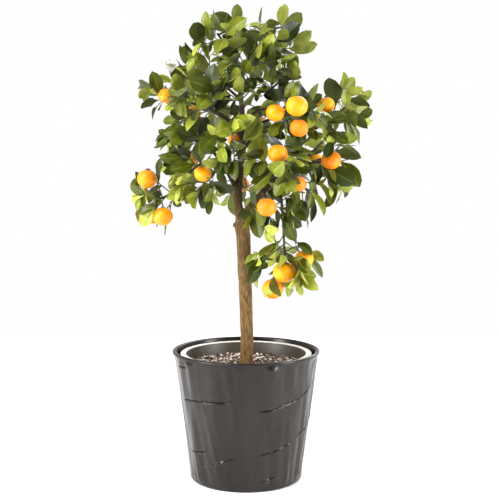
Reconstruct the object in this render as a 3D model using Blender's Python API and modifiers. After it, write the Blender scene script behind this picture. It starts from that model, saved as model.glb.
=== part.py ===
"""A small orange tree grown as a standard, in a dark pot with the relief of split slate.

Metres, +Z up. The origin is the middle of the pot's flat underside. The side that the photograph
shows faces -Y, and +X is on its right. The crown is made of masses of foliage. Each mass hangs on
one bough and keeps to an ellipsoid of its own.
"""
import math
import random

import bmesh
import bpy
from mathutils import Matrix, Vector
from mathutils.bvhtree import BVHTree

# Clearance between neighbouring solids
GAP = 0.0003
WELD = 0.000001
FLAT_ANGLE = math.radians(0.2)
UP = Vector((0.0, 0.0, 1.0))
GOLDEN_ANGLE = math.pi * (3.0 - math.sqrt(5.0))

# Outer pot: a turned shell with a rolled lip
TURN_STEPS = 32
POT_HEIGHT = 0.228
RIM_RADIUS = 0.130
FOOT_RADIUS = 0.099
POT_WALL = 0.0055
POT_FLOOR = 0.008
LIP_HEIGHT = 0.0055
LIP_PROUD = 0.003
LIP_WIDTH = 0.0075
FOOT_CHAMFER = 0.003
WALL_RINGS = 5
SLATE_WAVE = 0.0009

# Grow pot that stands inside, with a flat flange round its mouth
FLANGE_TOP = 0.222
FLANGE_OUTER = 0.116
FLANGE_INNER = 0.106
FLANGE_THICKNESS = 0.0025
LINER_WALL = 0.002
LINER_FOOT_RADIUS = 0.084

# Potting soil and the layer of pumice gravel on it
SOIL_TOP = 0.1985
GRAVEL_TOP = 0.2025
GRAVEL_RINGS = 5
GRAVEL_BUMP = 0.0013
TRUNK_HOLE = 0.0143

# Trunk: height and sideways lean of its centre line, then its radius along that line
TRUNK_LEAN = ((0.1988, 0.0), (0.244, 0.0017), (0.280, 0.0008), (0.351, -0.0018),
              (0.4215, -0.0044), (0.453, -0.0075), (0.468, -0.0065))
TRUNK_RADII = ((0.0, 0.0136), (0.03, 0.0122), (0.08, 0.0114), (0.35, 0.0113), (0.55, 0.0118),
               (0.80, 0.0124), (0.93, 0.0131), (1.0, 0.0090))
TRUNK_POINTS = 14
LEVEL_REACH = 0.003
TRUNK_SIDES = 9
KNOT_HEIGHT = 0.443
KNOT_REACH = 0.0165
KNOT_RADIUS = 0.0052
KNOT_DIRECTION = Vector((-0.95, -0.20, 0.22))

# Leader: the trunk's main limb above the fork
LEADER_LEAN = ((0.456, -0.0085), (0.4916, -0.0140), (0.5438, -0.0104), (0.613, -0.0052),
               (0.6817, -0.0103), (0.722, -0.0180))
LEADER_RADII = ((0.0, 0.0095), (0.08, 0.0074), (0.5, 0.0058), (1.0, 0.0030))
LEADER_POINTS = 10
LEADER_SIDES = 7

# The two scaffold boughs: parent, place along it, tip, rise of the middle, foot and tip radius
SCAFFOLD = (
    ("right_bough", "trunk", 0.965, (0.112, -0.020, 0.556), 0.020, 0.0080, 0.0028),
    ("left_bough", "leader", 0.180, (-0.066, -0.038, 0.584), 0.010, 0.0050, 0.0026),
)
SCAFFOLD_POINTS = 8

# Masses of foliage: name, limb that carries it, place along that limb, centre, radius across,
# radius up and down, rise of its bough as a share of the bough's length, and seed of its growth.
# A mass at ON_TIP takes the limb's own tip and needs no bough.
ON_TIP = 2.0
MASSES = (
    ("top_left", "leader", ON_TIP, (-0.044, -0.020, 0.767), 0.058, 0.060, 0.0, 2),
    ("left_shoulder", "leader", 0.77, (-0.085, -0.015, 0.722), 0.044, 0.044, 0.05, 22),
    ("top_right", "leader", 0.93, (0.060, 0.020, 0.766), 0.059, 0.060, 0.05, 1),
    ("top_front", "leader", 0.84, (0.004, -0.075, 0.728), 0.055, 0.058, 0.10, 15),
    ("outer_left", "leader", 0.58, (-0.139, -0.010, 0.678), 0.048, 0.048, 0.10, 19),
    ("upper_left", "leader", 0.53, (-0.075, -0.090, 0.662), 0.060, 0.058, 0.10, 46),
    ("upper_front", "leader", 0.64, (-0.010, -0.112, 0.668), 0.048, 0.048, 0.10, 45),
    ("upper_right", "leader", 0.72, (0.056, -0.080, 0.692), 0.050, 0.048, 0.10, 52),
    ("outer_right", "leader", 0.55, (0.168, 0.000, 0.647), 0.060, 0.062, 0.14, 60),
    ("fruiting_right", "leader", 0.45, (0.080, -0.100, 0.639), 0.055, 0.050, 0.12, 56),
    ("middle_left", "left_bough", ON_TIP, (-0.098, -0.060, 0.592), 0.052, 0.050, 0.0, 5),
    ("centre_front", "leader", 0.36, (-0.022, -0.130, 0.588), 0.056, 0.055, 0.12, 30),
    ("right_front", "right_bough", 0.42, (0.052, -0.130, 0.560), 0.052, 0.052, 0.14, 58),
    ("middle_right", "right_bough", 0.86, (0.140, -0.050, 0.606), 0.045, 0.040, 0.05, 58),
    ("right_drop", "right_bough", ON_TIP, (0.150, -0.020, 0.553), 0.048, 0.067, 0.0, 17),
    ("lower_outer_left", "left_bough", 0.62, (-0.151, -0.030, 0.494), 0.046, 0.064, 0.16, 24),
    ("lower_left", "left_bough", 0.40, (-0.078, -0.090, 0.527), 0.054, 0.054, 0.22, 36),
    ("lower_right", "right_bough", 0.28, (0.045, -0.095, 0.478), 0.054, 0.055, 0.18, 54),
    ("lower_outer_right", "right_bough", 0.72, (0.107, -0.040, 0.508), 0.044, 0.057, 0.16, 30),
    ("hanging", "right_bough", 0.54, (0.068, -0.060, 0.386), 0.066, 0.062, 0.12, 31),
    ("back_top", "leader", 0.88, (-0.002, 0.080, 0.735), 0.056, 0.058, 0.10, 40),
    ("back_upper_left", "leader", 0.66, (-0.080, 0.110, 0.660), 0.058, 0.056, 0.12, 22),
    ("back_upper_right", "leader", 0.62, (0.075, 0.120, 0.665), 0.058, 0.056, 0.12, 34),
    ("back_middle", "leader", 0.49, (-0.002, 0.160, 0.610), 0.060, 0.058, 0.12, 32),
    ("back_left", "leader", 0.32, (-0.105, 0.090, 0.560), 0.058, 0.056, 0.12, 13),
    ("back_right", "leader", 0.40, (0.095, 0.095, 0.565), 0.058, 0.056, 0.14, 15),
    ("back_low", "leader", 0.22, (0.000, 0.110, 0.515), 0.056, 0.054, 0.14, 50),
)
BOUGH_POINTS = 5
BOUGH_SIDES = 5
BOUGH_FOOT_RADIUS = 0.0038
BOUGH_TIP_RADIUS = 0.0021
FOOT_SHARE_OF_PARENT = 0.72
ENTRY = 0.86

# Oranges: mass, centre and diameter
FRUIT = (
    ("outer_left", (-0.135, -0.040, 0.669), 0.027),
    ("fruiting_right", (0.081, -0.150, 0.645), 0.035),
    ("outer_right", (0.135, -0.050, 0.653), 0.029),
    ("fruiting_right", (0.047, -0.140, 0.635), 0.030),
    ("fruiting_right", (0.085, -0.140, 0.611), 0.030),
    ("right_front", (0.051, -0.150, 0.570), 0.032),
    ("right_drop", (0.144, -0.050, 0.561), 0.034),
    ("lower_left", (-0.070, -0.110, 0.538), 0.028),
    ("lower_outer_left", (-0.167, -0.050, 0.529), 0.034),
    ("lower_outer_right", (0.087, -0.080, 0.521), 0.028),
    ("lower_right", (0.034, -0.140, 0.485), 0.032),
    ("lower_outer_left", (-0.140, -0.060, 0.466), 0.034),
    ("lower_outer_left", (-0.161, -0.018, 0.464), 0.029),
    ("hanging", (0.064, -0.090, 0.375), 0.038),
    ("hanging", (0.046, -0.060, 0.343), 0.037),
    ("hanging", (0.098, -0.070, 0.395), 0.032),
    ("back_upper_left", (-0.100, 0.145, 0.650), 0.031),
    ("back_upper_right", (0.085, 0.160, 0.655), 0.034),
    ("back_middle", (-0.020, 0.205, 0.600), 0.033),
    ("back_middle", (0.030, 0.190, 0.630), 0.029),
    ("back_left", (-0.110, 0.130, 0.560), 0.034),
    ("back_right", (0.130, 0.125, 0.560), 0.032),
    ("back_low", (-0.010, 0.150, 0.515), 0.033),
)
FRUIT_FLATTENED = 0.93
FRUIT_SEGMENTS = 8
FRUIT_RINGS = 5
STALK_RADIUS = 0.0013
STALK_RISE = 0.002
STALK_SUNK = 0.6

# Growth inside a mass
STEM_POINTS = 4
STEM_SIDES = 4
STEM_PAST_CENTRE = 0.18
STEM_TIP_RADIUS = 0.0018
TWIG_SIDES = 3
TWIG_FOOT_RADIUS = 0.0012
TWIG_TIP_RADIUS = 0.0008
TWIG_POINTS = 2
SHOOTS = 9
INWARD_LIMIT = -0.25
CROWN_DEPTH = 0.20
SHOOT_REACH = 0.66
SPACE = 1.15
LEAF_LENGTHS = (0.045, 0.060)
LEAF_WIDTH_SHARE = 0.58
LEAF_SPACING = 0.008
LEAVES_PER_SHOOT = 6
MOST_LEAVES = 16
TIP_LEAF_SHARE = 0.88
TIP_SPREAD = (4.0, 14.0)
LEAF_SPREAD = (42.0, 68.0)
TIP_CLEAR = 0.0008
BARE_SHARE = 0.25
LEAF_TRIES = 5
TRY_TURN = 1.3
TRY_SHRINK = 0.92
LEAF_EDGE = ((0.33, 0.94), (0.72, 0.80))
LEAF_KEEL_PLACE = 0.16
LEAF_KEEL_DEPTH = 0.0012
CROWN_MIDDLE = Vector((0.0, 0.0, 0.600))
TOUCH_GAP = 0.0006

COLOURS = {
    "pot": ((0.055, 0.047, 0.042, 1.0), 0.35),
    "liner": ((0.62, 0.57, 0.52, 1.0), 0.45),
    "soil": ((0.060, 0.038, 0.024, 1.0), 0.95),
    "gravel": ((0.52, 0.40, 0.32, 1.0), 0.90),
    "bark": ((0.20, 0.115, 0.048, 1.0), 0.85),
    "twig": ((0.10, 0.17, 0.035, 1.0), 0.70),
    "leaf": ((0.055, 0.130, 0.018, 1.0), 0.40),
    "fruit": ((0.85, 0.28, 0.012, 1.0), 0.42),
}


# Small helpers

def clear_scene():
    for item in list(bpy.data.objects):
        bpy.data.objects.remove(item)


def new_collection(name):
    collection = bpy.data.collections.new(name)
    bpy.context.scene.collection.children.link(collection)
    return collection


def material(name):
    """The Principled material of this name, made once."""
    found = bpy.data.materials.get(name)
    if found:
        return found
    colour, roughness = COLOURS[name]
    made = bpy.data.materials.new(name)
    made.use_nodes = True
    shader = made.node_tree.nodes["Principled BSDF"]
    shader.inputs["Base Color"].default_value = colour
    shader.inputs["Roughness"].default_value = roughness
    made.diffuse_color = colour
    return made


def add_object(name, mesh, collection, finish):
    """An object for this mesh, with its material, in this collection."""
    made = bpy.data.objects.new(name, mesh)
    if not mesh.materials:
        mesh.materials.append(material(finish))
    collection.objects.link(made)
    return made


def smooth(mesh, angle=35.0):
    mesh.shade_smooth()
    mesh.set_sharp_from_angle(angle=math.radians(angle))


def between(table, place):
    """The value at place, read between the rows of a table of (place, value)."""
    for (low, first), (high, second) in zip(table, table[1:]):
        if place <= high:
            return first + (second - first) * (place - low) / (high - low)
    return table[-1][1]


def curve_point(start, middle, end, share):
    """A point of the quadratic Bezier curve with these three control points."""
    return start.lerp(middle, share).lerp(middle.lerp(end, share), share)


def smooth_line(knots, count):
    """Evenly placed points of a Catmull-Rom curve through these knots."""
    ends = [knots[0] * 2 - knots[1]] + list(knots) + [knots[-1] * 2 - knots[-2]]
    reach = [0.0]
    for first, second in zip(knots, knots[1:]):
        reach.append(reach[-1] + (second - first).length)
    points = []
    for index in range(count):
        place = reach[-1] * index / (count - 1)
        span = max(k for k in range(len(knots) - 1) if reach[k] <= place)
        t = min((place - reach[span]) / (reach[span + 1] - reach[span]), 1.0)
        a, b, c, d = ends[span:span + 4]
        points.append(0.5 * (2 * b + (c - a) * t + (2 * a - 5 * b + 4 * c - d) * t ** 2
                             + (3 * b - a - 3 * c + d) * t ** 3))
    return points


def square_to(direction):
    """Two unit vectors square to this direction and to each other."""
    rough = UP if abs(direction.z) < 0.9 else Vector((1.0, 0.0, 0.0))
    across = direction.cross(rough).normalized()
    return across, direction.cross(across).normalized()


# Tubes

def cut_profile(sides):
    """The polygon that is swept along a curve, with corners one metre from its middle."""
    name = "cut_%d" % sides
    found = bpy.data.objects.get(name)
    if found:
        return found
    curve = bpy.data.curves.new(name, "CURVE")
    spline = curve.splines.new("POLY")
    spline.points.add(sides - 1)
    for index, point in enumerate(spline.points):
        angle = 2.0 * math.pi * index / sides
        point.co = (math.cos(angle), math.sin(angle), 0.0, 1.0)
    spline.use_cyclic_u = True
    made = bpy.data.objects.new(name, curve)
    made.hide_render = True
    made.display_type = "WIRE"
    bpy.data.collections["guides"].objects.link(made)
    return made


def tube_mesh(name, points, radii, sides):
    """The closed mesh of a tapering tube along these points."""
    curve = bpy.data.curves.new(name, "CURVE")
    curve.dimensions = "3D"
    curve.bevel_mode = "OBJECT"
    curve.bevel_object = cut_profile(sides)
    curve.use_fill_caps = True
    spline = curve.splines.new("POLY")
    spline.points.add(len(points) - 1)
    for point, place, radius in zip(spline.points, points, radii):
        point.co = (*place, 1.0)
        point.radius = radius
    holder = bpy.data.objects.new(name, curve)
    bpy.data.collections["guides"].objects.link(holder)
    graph = bpy.context.evaluated_depsgraph_get()
    mesh = bpy.data.meshes.new_from_object(holder.evaluated_get(graph))
    bpy.data.objects.remove(holder)
    shape = bmesh.new()
    shape.from_mesh(mesh)
    bmesh.ops.remove_doubles(shape, verts=shape.verts, dist=WELD)
    bmesh.ops.recalc_face_normals(shape, faces=shape.faces)
    shape.to_mesh(mesh)
    shape.free()
    mesh.name = name
    mesh.materials.clear()
    return mesh


def is_closed(mesh):
    """Whether every edge of a mesh joins exactly two faces."""
    shape = bmesh.new()
    shape.from_mesh(mesh)
    closed = all(len(edge.link_faces) == 2 for edge in shape.edges)
    shape.free()
    return closed


def bodies_of(shape):
    """The vertices of each connected body of a bmesh, the largest body first."""
    left = set(shape.verts)
    bodies = []
    while left:
        front = [left.pop()]
        body = list(front)
        while front:
            vert = front.pop()
            for edge in vert.link_edges:
                other = edge.other_vert(vert)
                if other in left:
                    left.discard(other)
                    body.append(other)
                    front.append(other)
        bodies.append(body)
    return sorted(bodies, key=len, reverse=True)


def triangles(shape):
    """Cut a bmesh's faces to triangles, without the corners that join only two edges."""
    bends = [vert for vert in shape.verts if len(vert.link_edges) == 2]
    bmesh.ops.dissolve_verts(shape, verts=bends)
    bmesh.ops.triangulate(shape, faces=shape.faces)


def main_body(mesh):
    """Keep the largest closed body of a mesh, which drops scraps and sealed hollows.

    Faces that lie flat beside each other are joined, where that leaves the body closed.
    """
    shape = bmesh.new()
    shape.from_mesh(mesh)
    scraps = [vert for body in bodies_of(shape)[1:] for vert in body]
    bmesh.ops.delete(shape, geom=scraps, context="VERTS")
    flatter = shape.copy()
    bmesh.ops.dissolve_limit(flatter, angle_limit=FLAT_ANGLE, verts=flatter.verts,
                             edges=flatter.edges, delimit={"MATERIAL"})
    triangles(flatter)
    triangles(shape)
    closed = all(len(edge.link_faces) == 2 for edge in flatter.edges)
    kept = flatter if closed else shape
    kept.to_mesh(mesh)
    flatter.free()
    shape.free()
    return mesh


def boolean(target, operation, cutter=None, group=None):
    """Cut or join an object with another object, or with a collection, and apply it."""
    step = target.modifiers.new(operation.lower(), "BOOLEAN")
    step.operation = operation
    step.material_mode = "TRANSFER"
    if group:
        step.operand_type = "COLLECTION"
        step.collection = group
    else:
        step.object = cutter
    for solver in ("EXACT", "MANIFOLD"):
        step.solver = solver
        graph = bpy.context.evaluated_depsgraph_get()
        mesh = main_body(bpy.data.meshes.new_from_object(target.evaluated_get(graph)))
        if is_closed(mesh):
            break
    target.modifiers.clear()
    target.data = mesh


# Pots, soil and gravel

def turned(name, profile, collection, finish):
    """A solid of revolution. Its profile runs from the axis, out and down, and back to the axis."""
    mesh = bpy.data.meshes.new(name)
    mesh.from_pydata([(radius, 0.0, height) for radius, height in profile],
                     [(index, index + 1) for index in range(len(profile) - 1)], [])
    made = add_object(name, mesh, collection, finish)
    screw = made.modifiers.new("turn", "SCREW")
    screw.steps = TURN_STEPS
    screw.render_steps = TURN_STEPS
    screw.use_merge_vertices = True
    screw.merge_threshold = 0.00005
    screw.use_normal_calculate = False
    graph = bpy.context.evaluated_depsgraph_get()
    made.data = bpy.data.meshes.new_from_object(made.evaluated_get(graph))
    made.modifiers.clear()
    return made


def pot_outer_radius(height):
    """Radius of the pot's straight outer side at a height."""
    top = POT_HEIGHT - LIP_HEIGHT
    return FOOT_RADIUS + (RIM_RADIUS - LIP_PROUD - FOOT_RADIUS) * height / top


def slate_wave(angle, height):
    """Broad hollows and swells of the split-slate side."""
    rise = math.sin(3.0 * angle + 0.7) + 0.6 * math.sin(5.0 * angle - 1.1 + 9.0 * height)
    return SLATE_WAVE * (rise + 0.5 * math.sin(8.0 * angle + 40.0 * height)) * 0.5


def build_pot(collection):
    half = LIP_WIDTH / 2.0
    wall_top = POT_HEIGHT - LIP_HEIGHT
    mouth = RIM_RADIUS - LIP_WIDTH
    profile = [(0.0, POT_FLOOR), (FOOT_RADIUS - POT_WALL, POT_FLOOR),
               (mouth - 0.001, wall_top - 0.002), (mouth, POT_HEIGHT - half * 0.6)]
    for degrees in (135.0, 90.0, 45.0, 0.0):
        turn = math.radians(degrees)
        profile.append((mouth + half + half * math.cos(turn),
                        POT_HEIGHT - half * 0.6 * (1.0 - math.sin(turn))))
    profile.append((RIM_RADIUS, wall_top + 0.001))
    for ring in range(WALL_RINGS + 1):
        height = wall_top + (FOOT_CHAMFER - wall_top) * ring / WALL_RINGS
        profile.append((pot_outer_radius(height), height))
    profile += [(FOOT_RADIUS - FOOT_CHAMFER, 0.0), (0.0, 0.0)]
    pot = turned("slate_pot", profile, collection, "pot")
    for vert in pot.data.vertices:
        radius = math.hypot(vert.co.x, vert.co.y)
        height = vert.co.z
        on_side = abs(radius - pot_outer_radius(height)) < 0.0005
        if on_side and FOOT_CHAMFER * 2 < height < wall_top - 0.005:
            share = (radius + slate_wave(math.atan2(vert.co.y, vert.co.x), height)) / radius
            vert.co.x *= share
            vert.co.y *= share
    smooth(pot.data)


def liner_inner_radius(height):
    """Radius of the grow pot's inner side at a height."""
    foot = POT_FLOOR + GAP + LINER_WALL
    share = (height - foot) / (FLANGE_TOP - foot)
    return (LINER_FOOT_RADIUS - LINER_WALL) * (1.0 - share) + FLANGE_INNER * share


def build_liner(collection):
    foot = POT_FLOOR + GAP
    under = FLANGE_TOP - FLANGE_THICKNESS
    profile = [(0.0, foot + LINER_WALL), (LINER_FOOT_RADIUS - LINER_WALL, foot + LINER_WALL),
               (FLANGE_INNER, FLANGE_TOP), (FLANGE_OUTER, FLANGE_TOP), (FLANGE_OUTER, under),
               (FLANGE_INNER + LINER_WALL, under), (LINER_FOOT_RADIUS, foot), (0.0, foot)]
    smooth(turned("grow_pot", profile, collection, "liner").data)


def build_soil(collection):
    foot = POT_FLOOR + 2 * GAP + LINER_WALL
    profile = [(0.0, SOIL_TOP), (liner_inner_radius(SOIL_TOP) - GAP * 1.5, SOIL_TOP),
               (liner_inner_radius(foot) - GAP * 1.5, foot), (0.0, foot)]
    smooth(turned("potting_soil", profile, collection, "soil").data)


def build_gravel(collection):
    """A ring of gravel round the trunk, with a bumpy top."""
    rng = random.Random("gravel")
    foot = SOIL_TOP + GAP
    edge = liner_inner_radius(foot) - GAP * 1.5
    profile = []
    for ring in range(GRAVEL_RINGS + 1):
        radius = TRUNK_HOLE + (edge - TRUNK_HOLE) * ring / GRAVEL_RINGS
        profile.append((radius, GRAVEL_TOP))
    profile += [(edge, foot), (TRUNK_HOLE, foot), (TRUNK_HOLE, GRAVEL_TOP)]
    gravel = turned("gravel_layer", profile, collection, "gravel")
    shape = bmesh.new()
    shape.from_mesh(gravel.data)
    bmesh.ops.remove_doubles(shape, verts=shape.verts, dist=0.00005)
    for vert in shape.verts:
        if vert.co.z > GRAVEL_TOP - 0.0005:
            vert.co.z += rng.uniform(-GRAVEL_BUMP, GRAVEL_BUMP)
    bmesh.ops.recalc_face_normals(shape, faces=shape.faces)
    shape.to_mesh(gravel.data)
    shape.free()


# Limbs

class Limb:
    """A tapering limb: its points, its radius at each point and its number of sides."""

    def __init__(self, name, points, radii, sides):
        self.name = name
        self.points = points
        self.radii = radii
        self.sides = sides

    def place(self, share):
        """The centre point and the radius at a share of the limb's length."""
        spot = min(share, 1.0) * (len(self.points) - 1)
        index = min(int(spot), len(self.points) - 2)
        part = spot - index
        point = self.points[index].lerp(self.points[index + 1], part)
        return point, self.radii[index] * (1.0 - part) + self.radii[index + 1] * part

    def tip(self):
        """The tip, its direction and its radius."""
        return self.points[-1], (self.points[-1] - self.points[-2]).normalized(), self.radii[-1]


def upright_limb(name, lean, radii, count, sides):
    points = smooth_line([Vector((x, 0.0, z)) for z, x in lean], count)
    return Limb(name, points, [between(radii, index / (count - 1)) for index in range(count)],
                sides)


def arching_limb(name, start, end, rise, radii, count, sides):
    """A limb from start to end whose middle is lifted by rise, thicker at its very foot."""
    middle = start.lerp(end, 0.5) + UP * rise * 2.0
    points = [curve_point(start, middle, end, index / (count - 1)) for index in range(count)]
    foot, tip = radii
    sizes = [foot + (tip - foot) * (index / (count - 1)) ** 0.7 for index in range(count)]
    return Limb(name, points, sizes, sides)


def entry_point(start, centre, across, upright):
    """Where the line from start to a mass's centre comes into that mass."""
    line = start - centre
    share = math.sqrt((line.x ** 2 + line.y ** 2) / across ** 2 + line.z ** 2 / upright ** 2)
    return centre + line * (ENTRY / share)


def plan_limbs():
    """Every limb by name, the trunk first, in the order in which they branch."""
    limbs = {"trunk": upright_limb("trunk", TRUNK_LEAN, TRUNK_RADII, TRUNK_POINTS, TRUNK_SIDES),
             "leader": upright_limb("leader", LEADER_LEAN, LEADER_RADII, LEADER_POINTS,
                                    LEADER_SIDES)}
    for name, parent, share, tip, rise, foot_radius, tip_radius in SCAFFOLD:
        start, _ = limbs[parent].place(share)
        limbs[name] = arching_limb(name, start, Vector(tip), rise, (foot_radius, tip_radius),
                                   SCAFFOLD_POINTS, LEADER_SIDES)
    for name, parent, share, centre, across, upright, rise, _ in MASSES:
        if share == ON_TIP:
            continue
        start, girth = limbs[parent].place(share)
        end = entry_point(start, Vector(centre), across, upright)
        foot_radius = min(BOUGH_FOOT_RADIUS, girth * FOOT_SHARE_OF_PARENT)
        bough = name + "_bough"
        limbs[bough] = arching_limb(bough, start, end, rise * (end - start).length,
                                    (foot_radius, BOUGH_TIP_RADIUS), BOUGH_POINTS, BOUGH_SIDES)
    return limbs


def tube_rings(points, radii, sides, grow=0.0):
    """Rings of points round a line, for telling what a tube touches."""
    rings = []
    for index, point in enumerate(points):
        before = points[max(index - 1, 0)]
        after = points[min(index + 1, len(points) - 1)]
        across, upright = square_to((after - before).normalized())
        ring = []
        for side in range(sides):
            angle = 2.0 * math.pi * side / sides
            ring.append(point + (across * math.cos(angle) + upright * math.sin(angle))
                        * (radii[index] + grow))
        rings.append(ring)
    return rings


class Taken:
    """The room that limbs, twigs, fruit and leaves have taken, and whose each piece is."""

    def __init__(self):
        self.pieces = []

    @staticmethod
    def tree(rings):
        """The closed surface through these rings, as a search tree with its box."""
        count = len(rings[0])
        corners = [corner for ring in rings for corner in ring]
        faces = [tuple(range(count)), tuple(range(len(corners) - count, len(corners)))]
        for row in range(len(rings) - 1):
            for side in range(count):
                low = row * count + side
                beside = row * count + (side + 1) % count
                faces.append((low, beside, beside + count, low + count))
        box = [(min(c[axis] for c in corners), max(c[axis] for c in corners))
               for axis in range(3)]
        return box, BVHTree.FromPolygons(corners, faces)

    def add(self, owner, rings):
        self.pieces.append((owner, *self.tree(rings)))

    def is_free(self, owner, own_rings, rings):
        """Whether rings touch nothing of others, and own_rings nothing of their owner."""
        own = self.tree(own_rings)
        whole = self.tree(rings)
        for whose, box, tree in self.pieces:
            near, shape = own if whose == owner else whole
            apart = any(near[axis][0] > box[axis][1] or near[axis][1] < box[axis][0]
                        for axis in range(3))
            if not apart and shape.overlap(tree):
                return False
        return True


def cut_level(mesh, height):
    """Make the foot of a tube a level cut at this height."""
    for vert in mesh.vertices:
        if vert.co.z < height + LEVEL_REACH:
            vert.co.z = height


def build_limbs(limbs, taken, collection):
    """Each limb as a solid, cut clear of the limbs before it that it grows out of."""
    done = []
    for limb in limbs.values():
        rings = tube_rings(limb.points, limb.radii, limb.sides, GAP)
        box, tree = Taken.tree(rings)
        mesh = tube_mesh(limb.name, limb.points, limb.radii, limb.sides)
        if limb.name == "trunk":
            cut_level(mesh, limb.points[0].z)
        made = add_object(limb.name, mesh, collection, "bark")
        for other, other_tree in done:
            if tree.overlap(other_tree):
                wider = [radius + GAP for radius in other.radii]
                guide = tube_mesh("guide", other.points, wider, other.sides)
                cutter = add_object("guide", guide, bpy.data.collections["guides"], "bark")
                boolean(made, "DIFFERENCE", cutter=cutter)
                bpy.data.objects.remove(cutter)
        done.append((limb, tree))
        taken.add("limbs", rings)
        if limb.name == "trunk":
            add_knot(made, limb)
        smooth(made.data, 40.0)


def add_knot(trunk, limb):
    """The stub of a cut branch, on the left just under the fork."""
    group = new_collection("knot_pieces")
    share = (KNOT_HEIGHT - limb.points[0].z) / (limb.points[-1].z - limb.points[0].z)
    start, _ = limb.place(share)
    out = KNOT_DIRECTION.normalized()
    mesh = tube_mesh("knot", [start, start + out * KNOT_REACH * 0.8, start + out * KNOT_REACH],
                     [KNOT_RADIUS * 1.2, KNOT_RADIUS, KNOT_RADIUS * 0.6], 6)
    add_object("knot", mesh, group, "bark")
    boolean(trunk, "UNION", group=group)
    for item in list(group.objects):
        bpy.data.objects.remove(item)
    bpy.data.collections.remove(group)


# Growth

class Mass:
    """One mass of foliage: its ellipsoid, and the twigs, leaves and fruit that grow in it."""

    def __init__(self, name, centre, across, upright, limb, seed):
        self.name = name
        self.centre = Vector(centre)
        self.across = across
        self.upright = upright
        self.limb = limb
        self.rng = random.Random("%s %d" % (name, seed))
        self.stem = None
        self.twigs = []
        self.leaves = []
        self.fruit = []

    def holds(self, point):
        """Whether a point lies in the mass's own space."""
        off = point - self.centre
        flat = (off.x ** 2 + off.y ** 2) / self.across ** 2
        return flat + (off.z / self.upright) ** 2 <= SPACE ** 2

    def rim_point(self, direction, share):
        """The point at a share of the ellipsoid's radius in a direction."""
        return self.centre + Vector((direction.x * self.across, direction.y * self.across,
                                     direction.z * self.upright)) * share


def grow_stem(mass, taken):
    """The stem runs on from the tip of the bough, clear of it, past the middle of the mass."""
    tip, run, radius = mass.limb.tip()
    start = tip + run * GAP
    straight = start + run * 0.003
    end = mass.centre + (mass.centre - start) * STEM_PAST_CENTRE
    bend = straight + run * (end - straight).length * 0.4
    points = [start]
    for index in range(STEM_POINTS - 1):
        points.append(curve_point(straight, bend, end, index / (STEM_POINTS - 2)))
    radii = [radius + (STEM_TIP_RADIUS - radius) * index / (STEM_POINTS - 1)
             for index in range(STEM_POINTS)]
    mass.stem = Limb(mass.name + "_stem", points, radii, STEM_SIDES)
    taken.add(mass.name, tube_rings(points, radii, STEM_SIDES))


def fruit_rings(centre, radius):
    """A coarse ball round a fruit, for telling what it touches."""
    rings = []
    for row in (-0.98, -0.6, 0.0, 0.6, 0.98):
        flat = math.sqrt(1.0 - row ** 2) * radius * 1.06
        rings.append([centre + Vector((math.cos(k * math.pi / 4) * flat,
                                       math.sin(k * math.pi / 4) * flat,
                                       row * radius * FRUIT_FLATTENED * 1.06))
                      for k in range(8)])
    return rings


def grow_fruit(mass, taken, centre, diameter):
    """A fruit at its place, on a stalk that arches over from the stem."""
    radius = diameter / 2.0
    top = centre + UP * radius * FRUIT_FLATTENED
    taken.add(mass.name, fruit_rings(centre, radius))
    start = min((mass.stem.place(step / 10.0)[0] for step in range(2, 11)),
                key=lambda point: (point - top).length)
    bend = start.lerp(top, 0.6) + UP * (top - start).length * 0.4
    points = [curve_point(start, bend, top, share) for share in (0.0, 0.5)]
    points += [top + UP * STALK_RISE, centre + UP * radius * STALK_SUNK]
    radii = [STALK_RADIUS] * len(points)
    mass.fruit.append((centre, radius))
    mass.twigs.append((points, radii))
    taken.add(mass.name, tube_rings(points[:-1], radii[:-1], TWIG_SIDES, TOUCH_GAP))


def sphere_direction(index, count, turn):
    """Directions spread evenly over a ball, one for each index."""
    height = 1.0 - 2.0 * (index + 0.5) / count
    flat = math.sqrt(1.0 - height ** 2)
    angle = index * GOLDEN_ANGLE + turn
    return Vector((flat * math.cos(angle), flat * math.sin(angle), height))


def grow_shoot(mass, taken, direction):
    """A twig from the stem towards the rim of the mass, or None where it would touch."""
    end = mass.rim_point(direction, SHOOT_REACH)
    run = mass.stem.tip()[1]
    share = 0.25 + 0.65 * (0.5 + 0.5 * direction.dot(run))
    start, _ = mass.stem.place(share)
    length = (end - start).length
    bend = start + run * length * 0.12 + (end - start) * 0.45
    points = [curve_point(start, bend, end, index / (TWIG_POINTS - 1))
              for index in range(TWIG_POINTS)]
    radii = [TWIG_FOOT_RADIUS + (TWIG_TIP_RADIUS - TWIG_FOOT_RADIUS) * index
             / (TWIG_POINTS - 1) for index in range(TWIG_POINTS)]
    near = points[0].lerp(points[1], min(0.8, 0.006 / (points[1] - points[0]).length))
    own = tube_rings([near] + points[1:], radii, TWIG_SIDES, TOUCH_GAP)
    whole = tube_rings(points, radii, TWIG_SIDES, TOUCH_GAP)
    if not taken.is_free(mass.name, own, whole):
        return None
    taken.add(mass.name, whole)
    mass.twigs.append((points, radii))
    return Limb("shoot", points, radii, TWIG_SIDES)


def leaf_corners(leaf, start=0.0):
    """The outline of a leaf: its root, one edge, its tip and the other edge."""
    root, along, face, length = leaf
    side = face.cross(along) * length * LEAF_WIDTH_SHARE / 2.0
    edge = [(place, -wide) for place, wide in LEAF_EDGE] + [(1.0, 0.0)]
    edge += [(place, wide) for place, wide in reversed(LEAF_EDGE)]
    return [root + along * length * start] + [root + along * length * place + side * wide
                                              for place, wide in edge]


def leaf_room(leaf, start):
    """The thin slab that a leaf needs, from a share of its length on."""
    corners = leaf_corners(leaf, start)
    face = leaf[2]
    return [[corner + face * TOUCH_GAP for corner in corners],
            [corner - face * (TOUCH_GAP + LEAF_KEEL_DEPTH) for corner in corners]]


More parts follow.
